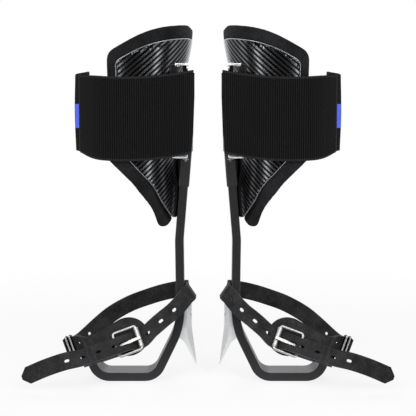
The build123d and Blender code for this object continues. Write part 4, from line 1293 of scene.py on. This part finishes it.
@dataclass
class ElasticBand:
    """Wide elastic band round the leg: two halves, their stitching, the closure patch and a tab.

    Attributes:
        outfit: The finishes.
        height: Height of the band.
        thickness: Its thickness over the ribs.
        rib: Width of one rib.
        rib_depth: Depth of the valleys between ribs.
        plain: Length of the plain end of the front half.
        selvedge: Width of the plain edges.
        centre: Middle of the cuff's oval at the band.
        reach: Radius of the band's outer side about that.
        flat: Ends of its flat run along the leg's front and back.
        front: How far forward its middle lies there.
        bar: Plan place of the strap bars, at both signs of y.
        loop: Corners of the sewn loop round a bar, from the bar's place.
        fold: Rounding of those corners.
        loop_rows: Distance of the loop's rows of stitches from its end.
        lap: Where the lap starts and ends on the outer side, in degrees.
        underlap: How far inside the front half the back half lies there.
        closing: Length over which the back half's free end runs off the band's line.
        lift: How far it lies above that line at its end.
        trim: How much the front half's free end is cut back above and below.
        taper: Length over which it is cut back.
        turn: Where the back half comes out of the lap, and how far either way it narrows.
        waist: How far its top and bottom edges are drawn in there.
        hump: Where it turns round the leg's outer side, and how far either way it swells.
        swell: How far the middle of its height stands out there.
        lean: How far the foot of the loops is drawn in towards the leg.
        sewn_at: Height of the middle of the patch and the tab.
    """

    outfit: Outfit
    height: float = 103.0
    thickness: float = 2.6
    rib: float = 2.7
    rib_depth: float = 0.22
    plain: float = 26.0
    selvedge: float = 2.6
    centre: float = -7.24
    reach: float = 62.6
    flat: Pair = (-24.04, 29.96)
    front: float = 61.7
    bar: Pair = (72.4, 36.0)
    loop: tuple[Pair, ...] = ((6.8, 5.6), (10.8, 0.0), (6.8, -4.6), (-4.5, -4.6), (-14.2, 11.4))
    fold: float = 3.2
    loop_rows: Pair = (28.0, 24.0)
    lap: Pair = (-120.0, -146.0)
    underlap: float = 3.9
    closing: float = 34.0
    lift: float = 4.5
    trim: Pair = (1.5, 6.5)
    taper: float = 40.0
    turn: Pair = (42.0, 44.0)
    waist: Pair = (1.5, 6.0)
    hump: Pair = (82.0, 38.0)
    swell: float = 4.6
    lean: float = 2.6
    sewn_at: float = 344.0

    def build(self) -> None:
        """Make both halves and what is sewn to them."""
        front = self.half("front_band", self.front_line(), self.plain)
        hem_rows = [3.0, self.plain - 2.0]
        self.stitches("front_band_stitching", front, hem_rows, 1)
        rear = self.half("rear_band", self.rear_line(), 0.0)
        self.stitches("rear_band_stitching", rear, [], -1)
        self.patch()
        self.tab(rear)

    def polar(self, radius: float, degrees: float) -> Vector:
        """Plan point at an angle about the band's middle."""
        angle = math.radians(degrees)
        return Vector((self.centre + radius * math.cos(angle), radius * math.sin(angle)))

    def lap_point(self, along: float, inward: float) -> Vector:
        """Plan point on the lap.

        Args:
            along: How far past the lap's end it lies.
            inward: How far inside the front half's middle.

        Returns:
            The point.
        """
        start, end = (self.polar(self.reach, degrees) for degrees in self.lap)
        way = (end - start).normalized()
        return end + way * along + Vector((way.y, -way.x)) * inward

    @staticmethod
    def top_edge(x: float) -> float:
        """Height of the band's top edge, an arc that dips in the middle of the leg.

        Args:
            x: Place across the leg.

        Returns:
            The height there.
        """
        outer, middle, inner = (-72.44, 398.5), (0.0, 391.5), (89.6, 402.5)
        rise_out = (outer[1] - middle[1]) / outer[0]
        rise_in = (inner[1] - middle[1]) / inner[0]
        bow = (rise_in - rise_out) / (inner[0] - outer[0])
        return middle[1] + x * (rise_in + bow * (x - inner[0]))

    def loop_end(self, side: int) -> list[Pair]:
        """Plan corners of the sewn loop in which a strap bar runs.

        Args:
            side: Minus one for the front bar, one for the rear bar.

        Returns:
            The corners, from the end of the flat run.
        """
        x, y = self.bar
        route = [(self.flat[1], self.front)] + [(x + across, y + depth) for across, depth in self.loop]
        return [(spot, side * depth) for spot, depth in route]

    def front_line(self) -> list[Vector]:
        """Plan line of the front half, from its free end to its loop on the front bar.

        Returns:
            Points along it.
        """
        corners = [self.polar(self.reach, self.lap[1]), self.polar(self.reach, self.lap[0]),
                   (self.flat[0], -self.front - 0.4)] + self.loop_end(-1)
        return rounded_line(corners, radii=[34, 40, 60] + [self.fold] * 4)

    @property
    def rear_start(self) -> float:
        """Length of the back half that lies hidden under the lap."""
        return 1.02 * self.reach * math.sin(math.radians((self.lap[0] - self.lap[1]) / 2))

    def rear_line(self) -> list[Vector]:
        """Plan line of the back half, from under the lap to its loop on the rear bar.

        Returns:
            Points along it.
        """
        corners = [self.lap_point(-self.rear_start, self.underlap), self.lap_point(10.0, self.underlap),
                   self.polar(self.reach, 172), self.polar(1.04 * self.reach, 135),
                   (self.flat[0] - 0.4, self.front + 0.4)] + self.loop_end(1)
        return rounded_line(corners, radii=[30, 50, 42, 40, 60] + [self.fold] * 4)

    def lay(self, piece: Piece, path: Path, lift: float = 0.0) -> None:
        """Lay a flat piece round the leg, in metres, between the band's curved edges.

        Args:
            piece: A flat piece in millimetres: x along the band, y up from its middle, z out.
            path: The half's plan line.
            lift: How far its free end was closed above the band's own line.
        """
        for vertex in piece.data.vertices:
            spot, _, out = path.at(vertex.co.x)
            spot = spot + out * vertex.co.z
            low = share_of(vertex.co.y, 0.2 * self.height, -0.5 * self.height)
            near_bar = share_of(spot.x, self.bar[0] - 12, self.bar[0] + 8)
            spot.x -= self.lean * low * near_bar
            astray = lift * max(1 - vertex.co.x / self.closing, 0)
            level = self.top_edge(spot.x) + astray - self.height / 2
            vertex.co = place(spot.x, spot.y, level + vertex.co.y)

    def stand(self, along: float, up: float) -> float:
        """How far the back half stands out at a distance along it and from its middle height."""
        return self.swell * bell(along, *self.hump) * bell(up, 0, self.height / 2)

    def half(self, name: str, line: list[Vector], plain: float) -> Path:
        """Make one half of the band as ribbed elastic along its plan line.

        Args:
            name: The node it stands for.
            line: Its plan line.
            plain: Length of its plain end.

        Returns:
            The plan line as a path.
        """
        path = Path([spot.to_3d() for spot in line], [Vector((0, 0, 1))] * len(line))
        strip = flat_strip(name, path.length, self.height, step=self.rib / 6, rows=26)
        thicken(strip, self.thickness, rounding=0.5)
        map_flat(strip, self.thickness)
        border, fade_along, fade_up = self.height / 2 - self.selvedge, 4.0, 1.5
        for vertex in strip.data.vertices:
            along, up, out = vertex.co
            ribbed = share_of(along, plain, plain + fade_along) if plain else 1.0
            ribbed *= share_of(abs(up), border, border - fade_up)
            valley = (1 - math.cos(math.tau * along / self.rib)) / 2
            vertex.co.z = out * (1 - 2 * self.rib_depth / self.thickness * valley * ribbed)
            if plain:
                trim = self.trim[up < 0] * max(1 - along / self.taper, 0) ** 2
            else:
                trim = self.waist[up < 0] * bell(along, *self.turn)
                vertex.co.z -= self.stand(along, up)
            vertex.co.y = up * (1 - 2 * trim / self.height)
        self.lay(strip, path, 0.0 if plain else self.lift)
        smooth_faces(strip, degrees=50)
        for side, one in self.outfit.add_pair(strip, "cuff", Slot.ELASTIC, name).items():
            side.name_of(name.replace("band", "strap_bar"))
        return path

    def stitches(self, name: str, path: Path, hem_rows: list[float], face: int) -> None:
        """Sew rows of thread up one face of a half, at its hem and at its loop.

        Args:
            name: The piece's name.
            path: The half's plan line.
            hem_rows: Distance of the hem's rows from the half's start.
            face: Which face of it is the outer one.
        """
        stitch_size, pitch, margin = (0.9, 3.0, 0.7), 3.8, 4.0
        count = int((self.height - 2 * margin) / pitch)
        columns = []
        for row in hem_rows + [path.length - row for row in self.loop_rows]:
            stitch = primitive(name, bpy.ops.mesh.primitive_uv_sphere_add, segments=8, ring_count=6,
                               radius=0.5)
            with editing(stitch):
                bpy.ops.transform.resize(value=stitch_size)
                lowest, level = -pitch * (count - 1) / 2, face * self.thickness / 2
                bpy.ops.transform.translate(value=(row, lowest, level))
            finish_with(stitch, "ARRAY", count=count, use_relative_offset=False, use_constant_offset=True,
                        constant_offset_displace=(0, pitch, 0))
            columns.append(stitch)
        seam = join(columns[0], columns[1:])
        map_flat(seam, self.thickness)
        self.lay(seam, path)
        smooth_faces(seam, degrees=60)
        self.outfit.add_pair(seam, "cuff", Slot.ELASTIC, material=self.outfit.thread)

    def patch(self) -> None:
        """Hook tape between the two halves: a thin strip with rows of raised hooks."""
        width, height, thickness = 14.0, 75.0, 1.2
        hook, base_thickness = 0.2 * thickness, 0.6 * thickness
        strip = flat_strip("closure_patch", width, height, step=1.0, rows=56)
        with editing(strip):
            bpy.ops.mesh.inset(thickness=0.25, use_individual=True)
            bpy.ops.transform.translate(value=(0, 0, hook))
        finish_with(strip, "SOLIDIFY", thickness=base_thickness, offset=-1)
        map_flat(strip, thickness)
        way = self.lap_point(-1, 0) - self.lap_point(0, 0)
        base = self.lap_point(0, self.underlap / 2)
        aside = Vector((way.y, -way.x))
        for vertex in strip.data.vertices:
            along, up, out = vertex.co
            spot = base + way * along + aside * (out - hook / 2)
            vertex.co = place(spot.x, spot.y, self.sewn_at + up)
        face_out(strip)
        for side, one in self.outfit.add_pair(strip, "cuff", Slot.HOOK, "closure_patch").items():
            side.name_of("rear_band")

    def tab(self, path: Path) -> None:
        """Plain woven tab folded double and sewn to the outer side of the back half.

        Args:
            path: The back half's plan line.
        """
        width, height, thickness = 26.0, 30.0, 0.8
        cloth, sewn = thickness * 0.9, height / 2 - 2.0
        pulled_in, gap, start = 0.15, 0.1, self.rear_start + 2.0
        strip = flat_strip("label_tab", width, height, step=0.5, rows=40)
        thicken(strip, cloth, rounding=0.3)
        with editing(strip, "VERT", lambda spot: abs(abs(spot.y) - sewn) < 0.3 and spot.z < 0):
            bpy.ops.transform.translate(value=(0, 0, pulled_in))
        map_flat(strip, cloth)
        for vertex in strip.data.vertices:
            along, up, proud = vertex.co
            spot, _, out = path.at(start + along)
            level = self.top_edge(spot.x) - self.height / 2
            clear = self.stand(start + along, self.sewn_at + up - level)
            clear += self.thickness / 2 + thickness / 2 + gap
            spot = spot - out * (clear - proud)
            vertex.co = place(spot.x, spot.y, self.sewn_at + up)
        smooth_faces(strip)
        for side, one in self.outfit.add_pair(strip, "cuff", Slot.LABEL, "label_tab").items():
            side.name_of("rear_band")


@dataclass
class Cuff:
    """Carbon shell of the cuff, its polished edge and the foam liner that it is let into.

    Attributes:
        outfit: The finishes.
        half_width: Half the oval across the leg.
        half_depth: Half of it front to back.
        axis_base: Plan place of the oval's axis at height zero.
        axis_lean: How much the axis leans out for each millimetre of height.
        outline: Corners of the shell's outline in front view, from its upper medial end.
        rounding: Radii of those corners.
        bead: Radius of the shell's edge.
        voxel: Size of the voxels that the foam is rebuilt from.
        skin: Shares of the oval between which the foam is let down below the shell's face.
        sink: How far it is let down.
        lip: How far the liner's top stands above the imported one.
        lip_heights: Heights between which that comes in.
        hang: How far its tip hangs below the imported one.
        hang_heights: Heights between which that comes in.
        shell_pull: How far the shell's medial side goes out at the top and bottom, and its top corner down.
        liner_pull: The same for the liner.
        top_heights: Heights between which the medial side goes out at the top.
        foot_heights: Heights between which it goes out at the bottom.
        corner_heights: Heights between which the top corner goes down.
        corner_angle: How far round the oval either way the corner reaches, in radians.
        border: Width of the liner's border along the shell's slanting edge.
        slant_moves: How far the slanting edge goes in above its knee, and the liner's border out and in.
        knee_heights: Heights between which the edge's move comes in.
        border_heights: Heights between which the border's move out comes in.
        band_heights: Heights between which both end, behind the band.
        tuck: Height of the border's move in, and how far either way it reaches.
        fade: How far round from the edge the moves reach.
        fade_limit: Share of the oval's half width that they stay within.
    """

    outfit: Outfit
    half_width: float = 76.0
    half_depth: float = 60.0
    axis_base: float = -35.55
    axis_lean: float = 0.08327
    outline: tuple[Pair, ...] = ((105.0, 446.5), (30.0, 433.0), (-11.5, 410.0), (-7.0, 296.5),
                                 (35.0, 248.5), (54.5, 212.0), (105.0, 262.0))
    rounding: tuple[float, ...] = (160.0, 10.0, 14.0, 120.0, 5.0)
    bead: float = 0.65
    voxel: float = 1.7
    skin: Pair = (0.965, 1.0)
    sink: float = 0.5
    lip: float = 2.0
    lip_heights: Pair = (425.0, 450.0)
    hang: float = 4.0
    hang_heights: Pair = (262.0, 244.0)
    shell_pull: Triple = (4.3, 4.0, 3.0)
    liner_pull: Triple = (4.3, -3.0, 5.0)
    top_heights: Pair = (404.0, 446.0)
    foot_heights: Pair = (284.0, 246.0)
    corner_heights: Pair = (430.0, 446.0)
    corner_angle: float = 0.45
    border: float = 15.0
    slant_moves: Triple = (5.5, 5.0, 2.5)
    knee_heights: Pair = (236.0, 266.0)
    border_heights: Pair = (258.0, 288.0)
    band_heights: Pair = (335.0, 300.0)
    tuck: Pair = (234.0, 24.0)
    fade: float = 38.0
    fade_limit: float = 0.85

    def build(self) -> None:
        """Make the shell, its edge and the liner."""
        self.shell()
        self.shell_edge()
        self.liner()

    def axis(self, height: float) -> float:
        """Plan place of the oval's axis at a height."""
        return self.axis_base + self.axis_lean * height

    def drawn(self, spot: Vector, pull: Triple) -> Vector:
        """Flare the cuff's medial side at both ends, and round its top down at the medial corner.

        Args:
            spot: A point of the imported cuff, in millimetres.
            pull: How far the medial side goes out at the top and at the bottom, and the top corner down.

        Returns:
            Where that point goes.
        """
        across = (spot.x - self.axis(spot.z)) / self.half_width
        up = share_of(spot.z, *self.top_heights)
        out = pull[0] * up * (2 - up) + pull[1] * eased(share_of(spot.z, *self.foot_heights))
        corner = bell(math.atan2(spot.y / self.half_depth, across), 0, self.corner_angle) ** 2
        fall = pull[2] * corner * share_of(spot.z, *self.corner_heights)
        return Vector((spot.x + out * share_of(across, 0.0, 1.0) ** 2, spot.y, spot.z - fall))

    def slanted(self, spot: Vector, border: float) -> Vector:
        """Draw the slanting lower edge in above its knee, and widen the liner's border there.

        Args:
            spot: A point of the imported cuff, in millimetres.
            border: Width of the border beyond the shell, or zero for the shell itself.

        Returns:
            Where that point goes, round the same oval.
        """
        upper, knee, tip = self.outline[3:6]
        edge = knee[0] + (upper[0] - knee[0]) * share_of(spot.z, knee[1], upper[1])
        edge += (tip[0] - knee[0]) * share_of(spot.z, knee[1], tip[1])
        axis, covered = self.axis(spot.z), share_of(spot.z, *self.band_heights)
        inner = self.slant_moves[0] * eased(share_of(spot.z, *self.knee_heights)) * covered
        outer = -self.slant_moves[1] * share_of(spot.z, *self.border_heights) * covered
        outer += self.slant_moves[2] * bell(spot.z, *self.tuck) ** 2
        beyond = share_of(spot.x, edge, edge - border) if border else 0.0
        end = max(min(edge + self.fade, axis + self.fade_limit * self.half_width), edge + 1)
        move = (inner + (outer - inner) * beyond) * share_of(spot.x, end, edge)
        across = (spot.x - axis) / self.half_width
        level = across ** 2 + (spot.y / self.half_depth) ** 2
        moved = across + move / self.half_width
        depth = self.half_depth * math.sqrt(max(level - moved ** 2, 0))
        return Vector((spot.x + move, math.copysign(depth, spot.y), spot.z))

    def shell(self) -> None:
        """Carbon shell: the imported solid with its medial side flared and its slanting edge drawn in."""
        shell = copied("cuff_shell")
        finish_with(shell, "TRIANGULATE")
        with editing(shell):
            bpy.ops.mesh.subdivide(number_cuts=1)
        for vertex in shell.data.vertices:
            vertex.co = place(*self.drawn(self.slanted(local(vertex.co), 0), self.shell_pull))
        smooth_faces(shell, degrees=35)
        self.outfit.add_pair(shell, "cuff", Slot.CARBON, "cuff_shell")

    def liner(self) -> None:
        """Foam liner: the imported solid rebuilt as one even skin, softened and let down at its border."""
        liner = copied("cuff_liner")
        finish_with(liner, "REMESH", mode="VOXEL", voxel_size=self.voxel * MM)
        finish_with(liner, "SMOOTH", factor=0.5, iterations=8)
        for vertex in liner.data.vertices:
            spot = local(vertex.co)
            x, y = (spot.x - self.axis(spot.z)) / self.half_width, spot.y / self.half_depth
            drop = self.sink * share_of(math.hypot(x, y), *self.skin)
            spot -= Vector((drop * x, drop * y, 0))
            spot = self.drawn(self.slanted(spot, self.border), self.liner_pull)
            hang = self.hang * share_of(spot.z, *self.hang_heights)
            spot.z += self.lip * share_of(spot.z, *self.lip_heights) - hang
            vertex.co = place(*spot)
        smooth_faces(liner, degrees=80)
        for one in self.outfit.add_pair(liner, "cuff", Slot.FOAM, "cuff_liner").values():
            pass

    def shell_edge(self) -> None:
        """Polished resin edge round the shell, a thin bright bead against the foam."""
        half, proud = [], 0.15
        for x, z in rounded_line(list(self.outline), list(self.rounding)):
            share = (x - self.axis(z)) / self.half_width
            if share < 1:
                half.append((x, -self.half_depth * math.sqrt(1 - share ** 2) - proud, z))
        loop = half + [(x, -y, z) for x, y, z in reversed(half)]
        curve = bpy.data.curves.new("shell_edge", "CURVE")
        curve.dimensions = "3D"
        curve.bevel_depth = self.bead * MM
        curve.bevel_resolution = 3
        line = curve.splines.new("POLY")
        line.points.add(len(loop) - 1)
        for point, spot in zip(line.points, loop):
            spot = self.slanted(Vector(spot), 0)
            point.co = (*place(*self.drawn(spot, self.shell_pull)), 1.0)
        line.use_cyclic_u = True
        make_active(put("shell_edge", curve))
        bpy.ops.object.convert(target="MESH")
        edge = added("shell_edge")
        smooth_faces(edge, degrees=60)
        self.outfit.add_pair(edge, "cuff", Slot.CARBON, material=self.outfit.edge)


@dataclass
class BarMounts:
    """Saddle bracket of the cuff, and the strap bars with their clips.

    Attributes:
        outfit: The finishes.
        bar: Place across the leg of the bars' axes.
        raised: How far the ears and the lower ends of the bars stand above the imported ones.
        narrowed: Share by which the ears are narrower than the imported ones.
        ends: Heights between which the change comes in.
        wing: Half the depth of the saddle, which stays as it is.
    """

    outfit: Outfit
    bar: float = 72.4
    raised: float = 5.5
    narrowed: float = 0.28
    ends: Pair = (303.0, 294.0)
    wing: float = 29.0

    def build(self) -> None:
        """Make the bracket, the bars and the clips."""
        self.fitting("cuff_bracket", "cuff", self.outfit.bracket)
        for end in ("front", "rear"):
            for piece in ("strap_bar", "bar_clip"):
                self.fitting(f"{end}_{piece}", f"{end}_bar")

    def fitting(self, node: str, body: str, finish: bpy.types.Material | None = None) -> None:
        """Copy one fitting and draw its lower end up.

        Args:
            node: The node it stands for.
            body: The body it rides on.
            finish: Its finish, where it isn't the slot's own.
        """
        piece = copied(node)
        for vertex in piece.data.vertices:
            spot = local(vertex.co)
            low = share_of(spot.z, *self.ends) if abs(spot.y) > self.wing else 0.0
            spot.z += self.raised * low
            if body == "cuff":
                spot.x += (self.bar - spot.x) * self.narrowed * low
            vertex.co = place(*spot)
        smooth_faces(piece, degrees=35)
        self.outfit.add_pair(piece, body, Slot.STAINLESS, node, finish)


@dataclass
class Hardware:
    """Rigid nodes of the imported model, which keep their own shapes.

    Attributes:
        outfit: The finishes.
        soft: Slots whose nodes are all rebuilt.
    """

    outfit: Outfit
    soft: tuple[Slot, ...] = (Slot.FOAM, Slot.ELASTIC, Slot.HOOK, Slot.LABEL, Slot.LEATHER)

    def build(self) -> None:
        """Give every rigid node the finish of its slot."""
        for part in frame["record"]["subparts"]:
            slot = Slot(part["material_slot"])
            if slot in self.soft:
                continue
            node = frame["nodes"][part["node"]]
            node.data.materials.clear()
            node.data.materials.append(self.outfit.materials[slot])
            LOG.info("%s: %s", node.name, self.outfit.materials[slot].name)


@dataclass
class Studio:
    """White floor and surroundings, soft lamps and the camera.

    Attributes:
        aim: What the camera and the lamps look at.
        distance: How far in front the camera stands.
        tilt: How far it looks down, in degrees.
        lens: Its focal length on the sensor.
        sensor: Width of its sensor.
        daylight: Level of the surroundings on dull surfaces.
        room: Level of the dim side of the room in reflections.
        white: Colour of what shows white.
        paint: Colour of the floor.
    """

    aim: Triple = (0.0, 0.0, 0.225)
    distance: float = 1.2
    tilt: float = 5.5
    lens: float = 80.25
    sensor: float = 36.0
    daylight: float = 0.38
    room: float = 0.06
    white: str = "#ffffff"
    paint: str = "#f2f2f2"

    def build(self) -> None:
        """Set up the whole stage."""
        self.floor()
        self.surroundings()
        for side, way in (("left", -1), ("right", 1)):
            self.lamp(f"{side}_softbox", (way * 1.2, -1.6, 1.5), self.aim, (1.1, 1.1), 17.0)
            self.lamp(f"{side}_card", (way * 0.004, 0.02, 0.43), (way, 0.02, 0.43), (0.16, 0.3), 0.11)
            self.lamp(f"{side}_strip", (way * 0.165, -0.25, 0.35), (0.0, 0.0, 0.35), (0.05, 0.6), 0.34)
        self.lamp("back_softbox", (0.0, 1.8, 1.6), self.aim, (1.4, 1.4), 16.0)
        self.camera()

    @staticmethod
    def rays(graph: Graph) -> tuple[Socket, Socket]:
        """Tell apart the ways in which the floor or the surroundings are seen.

        Args:
            graph: The graph of either.

        Returns:
            What is one where the camera sees it, also through glass, and what is one in reflections.
        """
        path = graph.add("LightPath", output="Is Camera Ray")
        seen = graph.add("Math", (path, path.node.outputs["Is Transmission Ray"]), operation="MAXIMUM")
        return seen, path.node.outputs["Is Glossy Ray"]

    def floor(self) -> None:
        """Pale floor that shows white and keeps the soft shadow of what stands on it."""
        floor = primitive("floor", bpy.ops.mesh.primitive_plane_add, size=5, location=(0, 0, 0))
        material = bpy.data.materials.new("studio_floor_painted")
        graph = Graph(material)
        graph.tree.nodes.remove(graph.tree.nodes["Principled BSDF"])
        paint = graph.add("BsdfDiffuse", {"Color": linear(self.paint)})
        spot = graph.add("TexCoord", output="Object")
        reach = graph.add("VectorMath", (spot,), 1, operation="LENGTH")
        far = graph.add("MapRange", (reach, 0.3, 1.0, 0.82, 1.0))
        glow = graph.add("Emission", {"Color": linear(self.white), "Strength": 1.0})
        shown = graph.add("MixShader", (far, paint, glow))
        depth = graph.add("SeparateXYZ", (spot,), "Y")
        level = graph.add("MapRange", (depth, -0.45, 0.05, self.room, 1.0))
        seen, glossy = self.rays(graph)
        mixed = graph.add("MixShader", (seen, paint, shown))
        glow = graph.add("Emission", {"Color": linear(self.white), "Strength": level})
        mixed = graph.add("MixShader", (glossy, mixed, glow))
        graph.end("Material Output", {"Surface": mixed})
        floor.data.materials.append(material)

    def surroundings(self) -> None:
        """White surroundings, dark in reflections of the room behind the camera."""
        world = bpy.data.worlds.new("studio")
        bpy.context.scene.world = world
        graph = Graph(world)
        graph.end("Background", {"Color": linear(self.white), "Strength": self.daylight})
        soft = graph.tree.nodes["Background"].outputs[0]
        spot = graph.add("TexCoord", output="Generated")
        _, depth, height = graph.add("SeparateXYZ", (spot,)).node.outputs
        behind = graph.add("MapRange", (depth, -0.32, -0.15, self.room, 1.0))
        above = graph.add("MapRange", (height, 0.45, 0.75, self.room, 0.9))
        level = graph.add("Math", (behind, above), operation="MAXIMUM")
        seen, glossy = self.rays(graph)
        glow = graph.add("Background", {"Color": linear(self.white), "Strength": level})
        mixed = graph.add("MixShader", (glossy, soft, glow))
        glow = graph.add("Background", {"Color": linear(self.white), "Strength": 1.0})
        mixed = graph.add("MixShader", (seen, mixed, glow))
        graph.end("World Output", {"Surface": mixed})

    @staticmethod
    def face(obj: Piece, aim: Triple) -> None:
        """Turn a lamp or the camera to what it looks at."""
        obj.rotation_euler = (Vector(aim) - obj.location).to_track_quat("-Z", "Y").to_euler()

    def lamp(self, name: str, spot: Triple, aim: Triple, size: Pair, power: float) -> None:
        """Hang a soft lamp.

        Args:
            name: The lamp's name.
            spot: Where it hangs.
            aim: What it faces.
            size: Width and height of its diffuser.
            power: Its power in watts.
        """
        light = bpy.data.lights.new(name, "AREA")
        light.shape = "RECTANGLE"
        light.size, light.size_y = size
        light.energy = power
        lamp = put(name, light)
        lamp.location = spot
        lamp.visible_camera = False
        self.face(lamp, aim)

    def camera(self) -> None:
        """Stand the camera in front of the pair, a little above it."""
        data = bpy.data.cameras.new("camera")
        data.sensor_width = self.sensor
        data.lens = self.lens
        camera = put("camera", data)
        rise = self.distance * math.tan(math.radians(self.tilt))
        camera.location = Vector(self.aim) + Vector((0, -self.distance, rise))
        self.face(camera, self.aim)
        bpy.context.scene.camera = camera


def main() -> None:
    """Build the pair and its stage."""
    logging.basicConfig(level=logging.INFO, format="%(message)s")
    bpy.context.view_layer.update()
    bpy.context.scene.view_settings.view_transform = "Standard"
    outfit = Outfit()
    Hardware(outfit).build()
    Cuff(outfit).build()
    BarMounts(outfit).build()
    ElasticBand(outfit).build()
    AnkleStrap(outfit).build()
    Studio().build()


if __name__ == "__main__":
    main()
